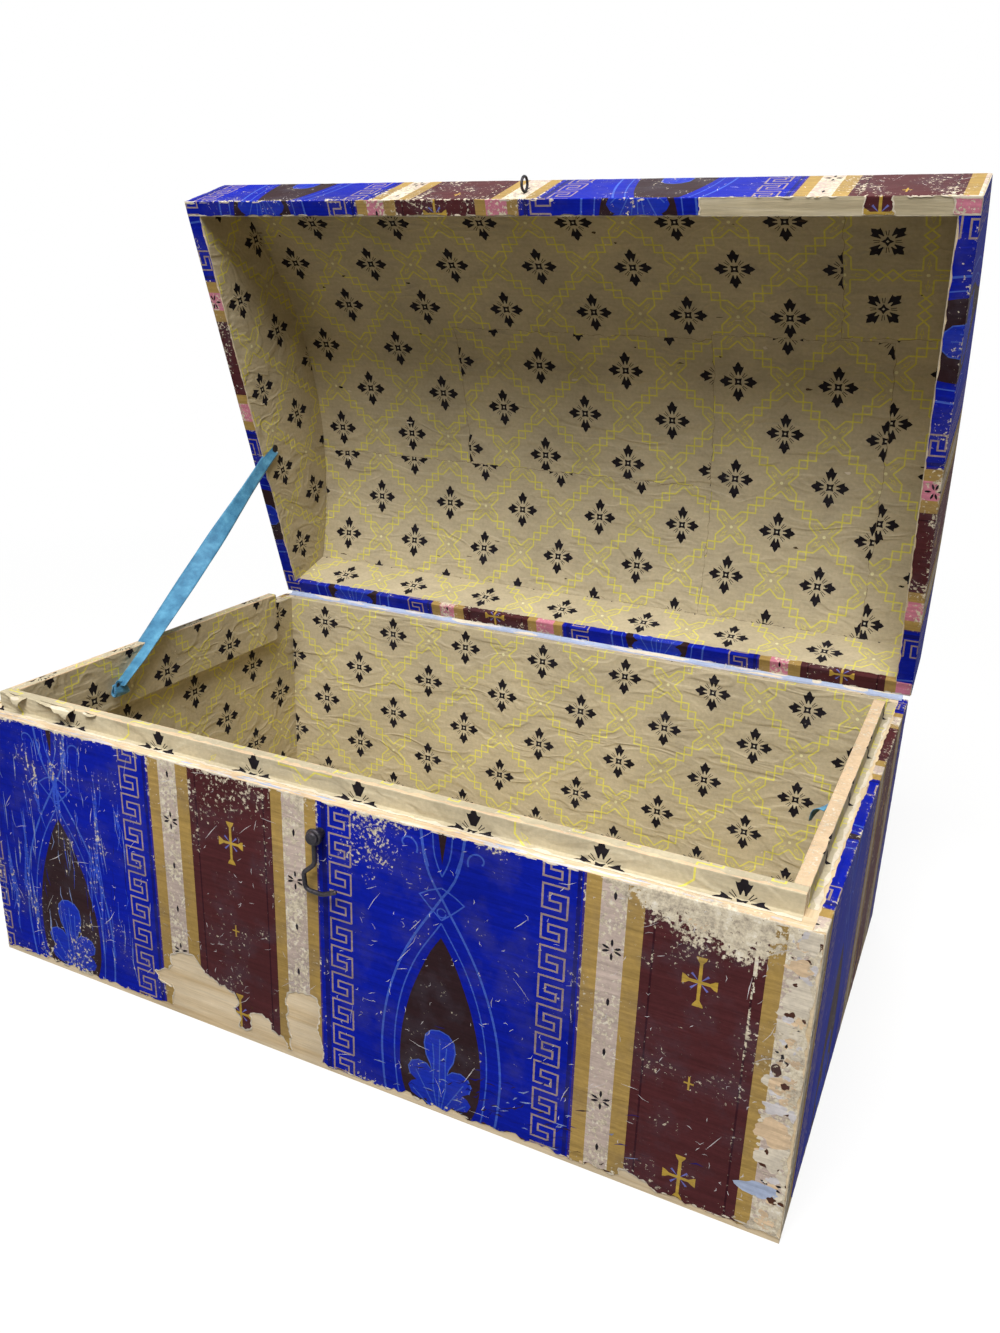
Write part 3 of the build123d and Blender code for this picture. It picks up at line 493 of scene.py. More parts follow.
def archPrints(u, v):
    # Two bands round a dark lens, a palmette with veins in it, and a scroll and points on each side
    w = wallpaper
    shapes = []
    for table, breadth in (("outerBand", 1.5), ("innerBand", 0.9)):
        at, width = smoothLine(w[table])
        shapes += [(stroke(np.stack([u + k * width, v + at], 1), breadth), "blueLine") for k in (-1, 1)]
    at, width = smoothLine(w["lens"])
    palmette = np.array(w["palmette"])
    for half, ink in ((np.stack([width, at], 1), "brown"), (palmette, "blueLeaf")):
        shapes.append((np.vstack([half, (half * (-1, 1))[::-1][1:-1]]) + (u, v), ink))
    # The scroll is a spiral: its radius shrinks with the angle
    t = np.linspace(0, 4.2, 18)
    scroll = (8 - 1.45 * t)[:, None] * np.stack([np.cos(t + 2.6), np.sin(t + 2.6)], 1) + w["scrollAt"]
    lines = [(palmette[:12], 0.8), *((line, 0.8) for line in w["veins"]), (scroll, 1.1),
             *((line, 0.9) for line in w["points"])]
    for side in (-1, 1):
        for line, breadth in lines:
            shapes.append((stroke(np.array(line) * (side, 1) + (u, v), breadth), "blueLine"))
    shapes.append((stroke(disc(u, v + w["ringAt"], 3), 0.8), "blueLine"))
    half, top, bottom = w["stem"]
    shapes.append((rect(u - half, v + top, u + half, v + bottom), "blueLine"))
    return shapes


def crossPrints(u, v, tall):
    # Four arms that flare into a bar at the end; the large cross has violet rays between its arms
    large = tall > 15
    shapes = []
    if large:
        shapes = [(turned(wallpaper["ray"], 90 * k) + (u, v), "violet") for k in range(4)]
    for k in range(4):
        reach = tall / 2 if k % 2 else tall / 2 * 0.63
        neck, bar, flare = reach - 4 * tall / 31, reach - 1.6 * tall / 31, 2.6 if large else 0.8
        arm = np.array([(0, -1), (neck, -0.9), (bar, -flare), (reach, -flare - 0.5),
                        (reach, flare + 0.5), (bar, flare), (neck, 0.9), (0, 1)])
        shapes.append((turned(arm * (1, 1 if large else 0.6), 90 * k) + (u, v), "goldPale"))
    return shapes


def sprigPrints(u, v, whole):
    # A single seed, or six seeds set round a stem
    seed = np.array(wallpaper["seed"])
    if not whole:
        return [(seed * (1.1, 1) + (u, v - 2), "black")]
    ring = ((0, 2.6), (180, 2.6), (70, 2.0), (-70, 2.0), (110, 2.0), (-110, 2.0))
    return [(turned(seed * (0.95, 0.9) + (0, gap), angle) + (u, v), "black") for angle, gap in ring]


def wallpaperPrints(u0, v0, u1, v1):
    # Every printed shape over a window of the endless pattern
    w = wallpaper
    shapes = []
    for k in range(math.floor(u0 / w["repeat"]), math.floor(u1 / w["repeat"]) + 1):
        base = k * w["repeat"]
        shapes += [(rect(base + a, v0 - 1, base + b, v1 + 1), ink) for a, b, ink in w["stripes"]]
        for m in range(math.floor(v0 / w["rise"]) - 1, math.floor(v1 / w["rise"]) + 1):
            shapes += archPrints(base + w["archCentre"], m * w["rise"])
        for u, top in w["keyColumns"]:
            rows = range(math.floor((v0 - top) / w["keyPitch"]), math.ceil((v1 - top) / w["keyPitch"]))
            for row in rows:
                line = np.array(w["keyUnit"]) + (base + u, top + row * w["keyPitch"])
                shapes.append((stroke(line, w["keyLine"]), "key"))
        for row in range(math.floor(v0 / w["crossPitch"]) - 1, math.ceil(v1 / w["crossPitch"]) + 1):
            v = w["crossFrom"] + w["crossPitch"] * row
            shapes += crossPrints(base + w["crossCentre"], v, w["crossTall"][row % 2])
        for row in range(math.floor(v0 / w["sprigPitch"]) - 1, math.ceil(v1 / w["sprigPitch"]) + 1):
            for n, (u, top) in enumerate(w["sprigColumns"]):
                shapes += sprigPrints(base + u, top + w["sprigPitch"] * row, row % 3 == n)
    return reaching(shapes, u0, v0, u1, v1)


def papered(u0, v0, u1, v1, phaseU, phaseV):
    # The pattern over a window of a piece, where piece coordinates plus the phase are the pattern's own
    shapes = wallpaperPrints(u0 + phaseU, v0 + phaseV, u1 + phaseU, v1 + phaseV)
    return shifted(shapes, -phaseU, -phaseV)


# The lining: a trellis of stepped lines and dark florets
lining = {
    "pitchU": 78.8, "pitchV": 81.2, "line": 1.25, "margin": 25,
    "tulip": [(5.0, 0), (5.0, 1.9), (6.6, 2.5), (8.2, 3.4), (10.2, 4.3), (11.9, 4.8), (11.4, 3.5), (12.0, 2.2),
              (13.2, 2.0), (15.6, 0), (13.2, -2.0), (12.0, -2.2), (11.4, -3.5), (11.9, -4.8), (10.2, -4.3),
              (8.2, -3.4), (6.6, -2.5), (5.0, -1.9)],
    "slot": [(3.9, -0.6), (6.0, -0.95), (7.8, -0.5), (8.6, 0), (7.8, 0.5), (6.0, 0.95), (3.9, 0.6)],
    "stalks": [[(3.2, 3.9), (6.2, 7.4)], [(3.9, 3.2), (7.4, 5.6)]],
    "heart": [(-3.1, -3.1), (0, -2.3), (3.1, -3.1), (2.3, 0), (3.1, 3.1), (0, 2.3), (-3.1, 3.1), (-2.3, 0)],
    "star": [(5.5, 0), (13, 7.5), (13, 13.6), (7.5, 13.6), (0, 6.5)],
    "steps": [[(5.5, 0), (13, 7.5), (13, 20.2), (19.9, 20.2)], [(0, 6.5), (7.5, 13.6), (19.7, 13.6), (19.7, 20.4)]],
    "arrow": [(3.0, 3.0), (5.6, 5.6), (6.6, 4.6), (9.2, 9.2), (4.6, 6.6), (5.3, 5.9)],
}


def floretPrints():
    # Four tulips with a slot and two stalks each, round a small heart
    shapes = []
    for k in range(4):
        size = (1.08, 0.98) if k % 2 else (1, 1)
        shapes.append((turned(lining["tulip"] * np.array(size), 90 * k), "black"))
        shapes.append((turned(lining["slot"], 90 * k), "cream" if k % 2 else "tan"))
        shapes += [(turned(stroke(stalk, 0.55), 90 * k), "black") for stalk in lining["stalks"]]
    return shapes + [(np.array(lining["heart"]), "black"), (rect(-0.8, -0.8, 0.8, 0.8), "dot")]


def crossingPrints():
    # Where the trellis crosses: a tinted star, two stepped lines and an arrow in each quarter, and a dot
    star = []
    for k, (su, sv) in enumerate(((1, 1), (-1, 1), (-1, -1), (1, -1))):
        corner = [(u * su, v * sv) for u, v in lining["star"]]
        star += corner[::-1] if k % 2 else corner
    shapes = [(np.array(star), "tanTint")]
    for quarter in ((-1, -1), (-1, 1), (1, -1), (1, 1)):
        for line, width in ((lining["steps"][0], lining["line"]), (lining["steps"][1], lining["line"]),
                            (lining["arrow"], 0.5)):
            shapes.append((stroke(line * np.array(quarter), width), "yellow"))
    return shapes + [(disc(0, 0, 1.4, count=8), "paleYellow")]


liningMotifs = [floretPrints(), crossingPrints()]


def liningPrints(u0, v0, u1, v1, centre, scale=(1, 1), angle=0.0):
    # Florets stand at centre plus whole pitches and again half way between; crossings fill the other
    # places. A turned sheet needs places from further out
    stepU, stepV = lining["pitchU"] * scale[0] / 2, lining["pitchV"] * scale[1] / 2
    margin = lining["margin"] + (0.75 * (abs(u1 - u0) + abs(v1 - v0)) if angle else 0)
    rows = range(math.floor((v0 - margin - centre[1]) / stepV),
                 math.ceil((v1 + margin - centre[1]) / stepV) + 1)
    columns = range(math.floor((u0 - margin - centre[0]) / stepU),
                    math.ceil((u1 + margin - centre[0]) / stepU) + 1)
    made = []
    for row in rows:
        for column in columns:
            for shape, ink in liningMotifs[(row + column) % 2]:
                shape = shape * scale + (centre[0] + column * stepU, centre[1] + row * stepV)
                made.append((turned(shape, angle, centre) if angle else shape, ink))
    made.sort(key=lambda entry: entry[1] != "tanTint")
    return reaching(made, u0, v0, u1, v1)


# Materials
paperLook = {
    "fibre": 2.6, "fleck": 2.53, "patch": 26.0, "fade": 110.0, "wrinkle": 34.0, "soil": 4.5,
    "dust": "#54505C", "cores": [(0.3, "#8F8476"), (0.42, "#BDB09B"), (0.52, "#D8CBB0"), (0.68, "#EDE5D6")],
}


def perMm(size):
    # Noise scale on Object coordinates, which are in metres, for features of this many millimetres
    return 1000.0 / size


def printedPaper(name, streak, flecks, tone, roughness, wrinkle, dust, grained):
    # Block-printed rag paper pasted on boards: matt distemper colour that flakes to a pale core,
    # with the boards' grain and the paste's wrinkles telegraphing through
    material, tree = newMaterial(name)
    look = paperLook
    at = {"Vector": addNode(tree, "TexCoord").outputs["Object"]}
    ink = addNode(tree, "Attribute", attribute_name="ink")
    worn = addNode(tree, "Attribute", attribute_name="worn")
    fleck = addNode(tree, "TexNoise", {**at, "Scale": perMm(look["fleck"]), "Detail": 7.0, "Roughness": 0.68})
    patch = addNode(tree, "TexNoise", {**at, "Scale": perMm(look["patch"]), "Detail": 5.0, "Roughness": 0.6})
    fade = addNode(tree, "TexNoise", {**at, "Scale": perMm(look["fade"]), "Detail": 4.0, "Roughness": 0.6,
                                      "Distortion": 0.6})
    fibre = addNode(tree, "TexNoise", {**at, "Scale": perMm(look["fibre"]), "Detail": 3.0, "Roughness": 0.6})
    soil = addNode(tree, "TexNoise", {**at, "Scale": perMm(look["soil"]), "Detail": 6.0, "Roughness": 0.75})
    along = addNode(tree, "Mapping", {**at, "Scale": streak})
    grain = addNode(tree, "TexNoise", {"Vector": along, "Scale": 1.0, "Detail": 5.0, "Roughness": 0.65})
    # Wear: fine and broad noise together, pushed over the threshold by the ink's and the place's wear
    rub = addNode(tree, "Math", {0: ink.outputs["Alpha"], 1: worn.outputs["Fac"]}, operation="ADD")
    broad = addNode(tree, "Math", {0: patch, 1: 0.7}, operation="MULTIPLY")
    mixed = addNode(tree, "Math", {0: fleck, 1: 1.35, 2: broad}, operation="MULTIPLY_ADD")
    pushed = addNode(tree, "Math", {0: rub, 1: 0.62, 2: mixed}, operation="MULTIPLY_ADD")
    mask = addNode(tree, "MapRange", {"Value": pushed, "From Min": 1.31 - flecks, "From Max": 1.37 - flecks})
    # Print: the ink with fading, streaks and a little fibre in its value, under a haze of dust
    lightness = addNode(tree, "MapRange", {"Value": fade, "From Min": 0.3, "From Max": 0.7,
                                           "To Min": tone[0], "To Max": tone[1]})
    streaked = addNode(tree, "MapRange", {"Value": grain, "From Min": 0.3, "From Max": 0.7,
                                          "To Min": 1 - grained, "To Max": 1 + grained})
    fibred = addNode(tree, "MapRange", {"Value": fibre, "From Min": 0.25, "From Max": 0.75,
                                        "To Min": 0.9, "To Max": 1.1})
    value = addNode(tree, "Math", {0: lightness, 1: streaked}, operation="MULTIPLY")
    value = addNode(tree, "Math", {0: value, 1: fibred}, operation="MULTIPLY")
    colour = addNode(tree, "HueSaturation", {"Color": ink.outputs["Color"], "Value": value})
    core = rampStops(addNode(tree, "ValToRGB", {"Fac": soil}), look["cores"])
    hazy = addNode(tree, "MapRange", {"Value": patch, "From Min": 0.46, "From Max": 0.72, "To Min": 0.0,
                                      "To Max": dust})
    dusted = addNode(tree, "Mix", {"Factor": hazy, 6: colour, 7: (*linear(look["dust"]), 1)}, data_type="RGBA")
    shown = addNode(tree, "Mix", {"Factor": mask, 6: dusted, 7: core}, data_type="RGBA")
    rough = addNode(tree, "MapRange", {"Value": fade, "To Min": roughness[0], "To Max": roughness[1]})
    # Relief in millimetres: crease ridges, which run where the noise passes one half, waves, flaked
    # print, grain and fibre
    lying = addNode(tree, "Mapping", {**at, "Scale": (0.55, 0.8, 1.3)})
    creases = addNode(tree, "TexNoise", {"Vector": lying, "Scale": perMm(look["wrinkle"]), "Detail": 2.5,
                                         "Roughness": 0.5, "Distortion": 1.0})
    fold = addNode(tree, "Math", {0: creases, 1: 0.5}, operation="SUBTRACT")
    fold = addNode(tree, "Math", {0: fold}, operation="ABSOLUTE")
    fold = addNode(tree, "MapRange", {"Value": fold, "From Min": 0.0, "From Max": 0.1},
                   interpolation_type="SMOOTHSTEP")
    height = addNode(tree, "Math", {0: creases, 1: 3.0, 2: fold}, operation="MULTIPLY_ADD")
    height = addNode(tree, "Math", {0: height, 1: -wrinkle}, operation="MULTIPLY")
    for part, share in ((mask, -0.12), (grain, 0.35), (fibre, 0.12)):
        height = addNode(tree, "Math", {0: part, 1: share, 2: height}, operation="MULTIPLY_ADD")
    bump = addNode(tree, "Bump", {"Strength": 0.6, "Distance": 0.001, "Height": height})
    shader = addNode(tree, "BsdfPrincipled", {"Base Color": shown, "Roughness": rough, "Normal": bump,
                                              "Specular IOR Level": 0.07})
    addNode(tree, "OutputMaterial", {"Surface": shader})
    return material


def woodMaterial(name, stops, stretch, ring, roughness, dirt):
    # Sawn softwood: early and late wood in bands along the board, fine pores, grey handling dirt
    material, tree = newMaterial(name)
    at = {"Vector": addNode(tree, "TexCoord").outputs["Object"]}
    slow = addNode(tree, "Mapping", {**at, "Scale": stretch})
    bands = addNode(tree, "TexNoise", {"Vector": slow, "Scale": perMm(ring * 2), "Detail": 4.0,
                                       "Roughness": 0.6, "Distortion": 0.8})
    pores = addNode(tree, "TexNoise", {"Vector": slow, "Scale": perMm(1.4), "Detail": 3.0, "Roughness": 0.7})
    stain = addNode(tree, "TexNoise", {**at, "Scale": perMm(55), "Detail": 5.0, "Roughness": 0.62})
    wood = rampStops(addNode(tree, "ValToRGB", {"Fac": bands}), stops)
    dark = addNode(tree, "MapRange", {"Value": stain, "From Min": 0.35, "From Max": 0.75, "To Min": 1.04,
                                      "To Max": 1.0 - dirt})
    fine = addNode(tree, "MapRange", {"Value": pores, "From Min": 0.3, "From Max": 0.7, "To Min": 0.86,
                                      "To Max": 1.08})
    value = addNode(tree, "Math", {0: dark, 1: fine}, operation="MULTIPLY")
    colour = addNode(tree, "HueSaturation", {"Color": wood, "Value": value})
    height = addNode(tree, "Math", {0: bands, 1: 0.5, 2: pores}, operation="MULTIPLY_ADD")
    bump = addNode(tree, "Bump", {"Strength": 0.5, "Distance": 0.0004, "Height": height})
    shader = addNode(tree, "BsdfPrincipled", {"Base Color": colour, "Roughness": roughness, "Normal": bump,
                                              "Specular IOR Level": 0.35})
    addNode(tree, "OutputMaterial", {"Surface": shader})
    return material


def ironMaterial(name, stops, metallic, roughness):
    # Forged wire and nail heads: black scale, worn bright in places, brown rust in the pits
    material, tree = newMaterial(name)
    at = {"Vector": addNode(tree, "TexCoord").outputs["Object"]}
    pits = addNode(tree, "TexNoise", {**at, "Scale": perMm(1.6), "Detail": 6.0, "Roughness": 0.7})
    broad = addNode(tree, "TexNoise", {**at, "Scale": perMm(9), "Detail": 3.0})
    both = addNode(tree, "Math", {0: broad, 1: 0.5, 2: pits}, operation="MULTIPLY_ADD")
    fac = addNode(tree, "MapRange", {"Value": both, "From Min": 0.5, "From Max": 1.0})
    colour = rampStops(addNode(tree, "ValToRGB", {"Fac": fac}), stops)
    rough = addNode(tree, "MapRange", {"Value": pits, "From Min": 0.3, "From Max": 0.7,
                                       "To Min": roughness[0], "To Max": roughness[1]})
    bump = addNode(tree, "Bump", {"Strength": 0.7, "Distance": 0.0003, "Height": pits})
    shader = addNode(tree, "BsdfPrincipled", {"Base Color": colour, "Metallic": metallic, "Roughness": rough,
                                              "Normal": bump})
    addNode(tree, "OutputMaterial", {"Surface": shader})
    return material


def tornMaterial():
    # The torn edge of the paper: bare pale pulp, quite matt
    material, tree = newMaterial("tornPaperEdge")
    place = addNode(tree, "TexCoord").outputs["Object"]
    pulp = addNode(tree, "TexNoise", {"Vector": place, "Scale": perMm(3)})
    colour = rampStops(addNode(tree, "ValToRGB", {"Fac": pulp}), [(0.3, "#CDBFA4"), (0.7, "#E9DFCB")])
    shader = addNode(tree, "BsdfPrincipled", {"Base Color": colour, "Roughness": 0.9})
    addNode(tree, "OutputMaterial", {"Surface": shader})
    return material


# Streaks of the boards' grain under the wallpaper are 70 mm long and 2.4 mm wide
wallpaperAlongX = printedPaper("blockPrintedPaper", streak=(14.0, 420.0, 420.0), flecks=0.0, tone=(0.8, 1.16),
                               roughness=(0.6, 0.85), wrinkle=0.16, dust=0.3, grained=0.2)
wallpaperAlongY = printedPaper("blockPrintedPaperEnds", streak=(420.0, 14.0, 420.0), flecks=0.0,
                               tone=(0.8, 1.12), roughness=(0.6, 0.85), wrinkle=0.16, dust=0.25, grained=0.2)
liningPaper = printedPaper("liningPaper", streak=(60.0, 60.0, 400.0), flecks=-0.06, tone=(0.88, 1.1),
                           roughness=(0.75, 0.92), wrinkle=0.75, dust=0.12, grained=0.07)
torn = tornMaterial()
pineStops = [(0.3, "#E6D3B4"), (0.5, "#DFC9A5"), (0.64, "#D2B88F"), (0.76, "#BFA077")]
greyStops = [(0.3, "#DDD0B4"), (0.5, "#CDBE9C"), (0.7, "#A8987A")]
ironStops = [(0.0, "#1B1A1C"), (0.55, "#343236"), (0.8, "#4A4246"), (1.0, "#5C3F2C")]
nailStops = [(0.0, "#221C1A"), (0.5, "#3B2A20"), (1.0, "#6B4226")]
alongX, alongY = (0.05, 1.0, 1.0), (1.0, 0.05, 1.0)

# Each finish with the CAD nodes that keep their own solids
finishes = [
    (woodMaterial("sawnPineLong", pineStops, alongX, 6.0, 0.72, 0.22),
     ["front_board", "back_board", "bottom_board", "front_lip", "lid_back_rail",
      "lid_top_back_board", "lid_top_middle_board", "lid_top_front_board"]),
    (woodMaterial("sawnPineAcross", pineStops, alongY, 6.0, 0.72, 0.22),
     ["left_end_board", "right_end_board", "left_lip", "right_lip", "lid_left_end", "lid_right_end"]),
    (woodMaterial("greyedPine", greyStops, alongX, 5.0, 0.78, 0.25), ["lid_front_rail"]),
    (ironMaterial("blackenedIron", ironStops, 0.75, (0.32, 0.62)),
     ["hook_screw", "hook", "lid_eye", "ribbon_body_tack", "ribbon_lid_tack", "body_hinge_nails",
      "lid_hinge_nails", "left_hinge_body_leaf", "right_hinge_body_leaf", "left_hinge_lid_leaf",
      "right_hinge_lid_leaf", "left_hinge_pin", "right_hinge_pin"]),
    (ironMaterial("rustedNailIron", nailStops, 0.4, (0.55, 0.85)),
     ["corner_nails", "bottom_nails", "lip_pins", "lid_rail_nails", "lid_top_nails"]),
]
for material, names in finishes:
    for name in names:
        nodes[name].data.materials.clear()
        nodes[name].data.materials.append(material)
print("materials made")


def rounded(corners, radius, count=4):
    # Each inner corner of the section becomes a short arc: a quadratic blend between points a radius away
    section = np.asarray(corners, float)
    path = [section[0]]
    t = np.linspace(0, 1, count)[:, None]
    for a, b, c in zip(section[:-2], section[1:-1], section[2:]):
        start = b + (a - b) * min(radius / np.linalg.norm(a - b), 0.45)
        end = b + (c - b) * min(radius / np.linalg.norm(c - b), 0.45)
        path.extend((1 - t) ** 2 * start + 2 * t * (1 - t) * b + t ** 2 * end)
    return np.array([*path, section[-1]])


def overSection(corners, zero, put, radius=0.8):
    # A sheet carried along a section: v walks the section's length and is zero at the corner of that
    # number. put(u, a, b) makes a place of the run along the piece and the section's two coordinates
    path = rounded(corners, radius)
    run, lengths = walked(path), walked(corners)
    at = run - lengths[zero] * run[-1] / lengths[-1]

    def place(u, v):
        return put(u, np.interp(v, at, path[:, 0]), np.interp(v, at, path[:, 1]))
    return place, at[0], at[-1], at[1:-1]


# The front's wallpaper: u runs along the box from the left, v down from the rim
frontSheet = {
    "phase": (17, 0), "rimDeep": 5.2, "rimCorner": 6.6, "streaks": 5,
    # place, length and width of the rubbed places on the left panel
    "rubbed": [(34, 60, 120, 9), (110, 10, 150, 6), (52, 30, 60, 7), (98, 60, 90, 5), (70, 16, 60, 8),
               (128, 40, 50, 3), (18, 90, 90, 7), (84, 4, 60, 6)],
    # place, reach and strength of wear
    "wear": [(325, 22, 22, 0.3), (516, 4, 12, 0.6), (535, 6, 16, 0.6), (556, 9, 15, 0.6), (572, 12, 9, 0.35),
             (562, 22, 8, 0.3), (575, 14, 14, 0.2), (25, 8, 40, 0.14), (100, 60, 60, 0.12), (30, 130, 40, 0.12),
             (120, 150, 40, 0.1), (400, 170, 60, 0.08), (303, 108, 7, 0.35), (590, 100, 14, 0.25),
             (340, 0, 40, 0.12), (594, 190, 18, 0.3), (276, 80, 14, 0.22), (276, 20, 18, 0.12),
             (215, 14, 18, 0.22), (240, 8, 22, 0.16), (594, 60, 16, 0.25), (60, 195, 40, 0.2)],
    "tears": [
        [(152, 170), (160, 166), (169, 162), (169, 152), (178, 147), (188, 147), (195, 155), (197, 158),
         (208, 160), (212, 163), (222, 164), (226, 170), (222, 178), (228, 184), (226, 192), (236, 191),
         (238, 178), (242, 174), (254, 178), (255, 186), (264, 189), (268, 194), (270, 199), (165, 199),
         (170, 180), (154, 176)],
        [(269, 150), (274, 146), (292, 146), (294, 158), (292, 172), (296, 186), (294, 199), (268, 199),
         (271, 184), (267, 170)],
        [(505, 190), (516, 191), (527, 197), (528, 199), (506, 199)],
    ],
    # place, half sizes and ink of what is left on the right corner's pale strip, and of the nail holes
    "patches": [
        (591, 98, 8, 6, "peach"), (588, 128, 11, 9, "peach"), (592, 190, 7, 7, "peach"), (590, 22, 8, 5, "peach"),
        (538, 12, 9, 4, "peach"), (586, 168, 12, 5, "cloud"), (592, 42, 7, 11, "core"), (589, 146, 9, 7, "core"),
        (594, 8, 5, 7, "core"), (588, 112, 7, 4, "scratch"), (591.7, 95.6, 2.6, 2.2, "rust"),
        (592.5, 171.8, 2.4, 2.2, "rust"), (586.8, 141, 1.5, 1.8, "rust"), (589, 33, 1.8, 1.5, "rust"),
        (587, 52, 1.2, 1.4, "rust"), (588, 78, 1.0, 1.6, "shadow"), (590, 81, 1.4, 0.8, "shadow"),
        (585, 76, 1.2, 0.7, "shadow"), (589, 71, 0.8, 1.6, "shadow"), (547, 5, 2, 1.0, "shadow"),
        (274, 160, 1.2, 1.2, "rust"), (238, 172, 1.0, 1.3, "rust"),
    ],
}


def frontWorn(u, v):
    # A bell of wear round each worn place, and wear that dies away from the four edges
    places = sum(k * np.exp(-((u - a) ** 2 + (v - b) ** 2) / r ** 2) for a, b, r, k in frontSheet["wear"])
    return (places + 0.4 * np.exp(-np.abs(v) / 2.0) * (v > 0) + 0.35 * np.exp(-(paperTall - v) / 3)
            + 0.45 * np.exp(-(boxLong - u) / 4) + 0.3 * np.exp(-u / 4))


def frontPaperPrints():
    prints = papered(0, 0, boxLong, paperTall, *frontSheet["phase"])
    random = np.random.default_rng(17)
    # Rubbed places on the left panel: long pale streaks down the print
    for u, v, length, width in frontSheet["rubbed"]:
        for _ in range(frontSheet["streaks"]):
            x, y = u + random.normal(0, 2.5), v + random.uniform(0, 0.5) * length
            part = random.uniform(0.3, 0.6) * length
            line = [(x, y), (x + random.normal(0, 1.2), y + part / 2), (x + random.normal(0, 2), y + part)]
            prints.append((tapered(line, width * random.uniform(0.15, 0.5), 0.2), "blueRub"))
    # Short dark strokes low on the middle panel, then fine long ones down the left panel
    for _ in range(110):
        u, v, length = random.normal(425, 50), random.normal(178, 16), random.uniform(2, 9)
        line = [(u, v), (u + length / 2, v - random.uniform(0, 2)), (u + length, v - random.uniform(0, 4))]
        shape = tapered(line, random.uniform(0.4, 1.3))
        prints.append((shape, pick(random, {"blueDark": 0.5, "haze": 0.2, "brown": 0.3})))
    for _ in range(130):
        u, v, length = random.uniform(2, 135), random.uniform(0, 170), random.uniform(8, 34)
        line = [(u, v), (u + random.normal(0, 0.8), v + length / 2), (u + random.normal(0, 1.6), v + length)]
        shape = tapered(line, random.uniform(0.3, 1.1))
        prints.append((shape, pick(random, {"blueRub": 0.35, "blueDark": 0.25, "haze": 0.4})))
    # Flakes down the right corner and along the bottom edge
    flakes = {"core": 0.35, "scratch": 0.25, "taupe": 0.15, "rust": 0.1, "peach": 0.15}
    for _ in range(190):
        u, v, size = random.normal(592, 5), random.uniform(0, paperTall), random.uniform(0.5, 3.5)
        shape = spot(min(u, 601), v, size, size * random.uniform(0.5, 1.4), 11 * v)
        prints.append((shape, pick(random, flakes)))
    prints += crumbs(random, 170, (0, 194.5, boxLong, 197.5), (0.6, 4, 0.3, 1.1), 7,
                     {"core": 0.6, "rust": 0.25, "peach": 0.15})
    return prints + scratches(0, 0, boxLong, 190, 420, 21)


def rimResidue(length, low, seed):
    # What is left of the paper where it was turned over the rim: peach and pale smears, crumbs of core
    random = np.random.default_rng(seed)
    shapes = [(rect(-1, low - 1, length + 1, 0.25), "peach")]
    shapes += crumbs(random, int(length / 7), (0, low, length, 0), (3, 16, 0.4, 1.5), 9,
                     {"core": 0.35, "scratch": 0.35, "cloud": 0.15, "peach": 0.15})
    return shapes + crumbs(random, int(length / 5), (0, 0.2, length, 0.9), (1, 5, 0.3, 0.9), 5, "core")


def frontPaper():
    top, face, corner = box["rim"] + paper, box["frontY"] - paper, frontSheet["rimCorner"]
    section = [(box["frontY"] + frontSheet["rimDeep"], top), (face, top), (face, box["paperBottom"])]
    place, low, high, folds = overSection(section, 1, lambda u, a, b: onBody(u - box["endX"], a, b))
    gone = [ragged(tear, 1.7, 0.9, 30 + k) for k, tear in enumerate(frontSheet["tears"])]
    prints = frontPaperPrints() + rimResidue(boxLong, low, 33)
    prints += [(spot(u, v, ru, rv, u + 3 * v, 22), ink) for u, v, ru, rv, ink in frontSheet["patches"]]
    prints += [(bareEdge(tear, 1.0), "core") for tear in gone]
    # The end papers lie on the rim's corners, so this one is cut away there
    gone += [rect(boxLong - corner, low - 1, boxLong + 2, 0), rect(-2, low - 1, corner, 0)]
    outline = jagged(0, low, boxLong, high, 11, (0.9, 0.9, 1.6, 0.8))
    sheet = paperSheet(outline, prints, place, (0, -1, 0), "blue", holes=gone, folds=folds, worn=frontWorn)
    buildPiece("frontWallpaper", [sheet], "box", "front_paper", wallpaperAlongX)


def edgeWear(length, height, strong=0.5):
    # More wear along the four edges of a face, falling off in a few millimetres
    def worn(u, v):
        ends = np.exp(-np.abs(u) / 5) + np.exp(-np.abs(length - u) / 5)
        return strong * (0.7 * np.exp(-np.abs(v) / 1.2) + np.exp(-np.abs(height - v) / 5) + 0.8 * ends) + 0.04
    return worn


def endPaper(side):
    # Runs over the outer half of the rim, then down the end; u runs to the right as seen from outside
    top, face = box["rim"] + paper, side * (box["endX"] + paper)
    section = [(side * (box["endX"] - box["rimTurn"]), top), (face, top), (face, box["paperBottom"])]
    place, low, high, folds = overSection(section, 1, lambda u, a, b: onBody(a, side * (u - box["backY"]), b))
    phase = 162 - box["backY"] if side > 0 else frontSheet["phase"][0] - boxDeep
    prints = papered(0, low, boxDeep, high, phase, 0) + scratches(0, low, int(boxDeep), high, 90, 40 + side)
    outline = jagged(0, low, boxDeep, high, 50 + side, (0.6, 0.8, 1.5, 0.8))
    sheet = paperSheet(outline, prints, place, (side, 0, 0.2), "blue", folds=folds,
                       worn=edgeWear(int(boxDeep), paperTall))
    buildPiece(sideName[side] + "Wallpaper", [sheet], "box", sideName[side] + "_end_paper", wallpaperAlongY)


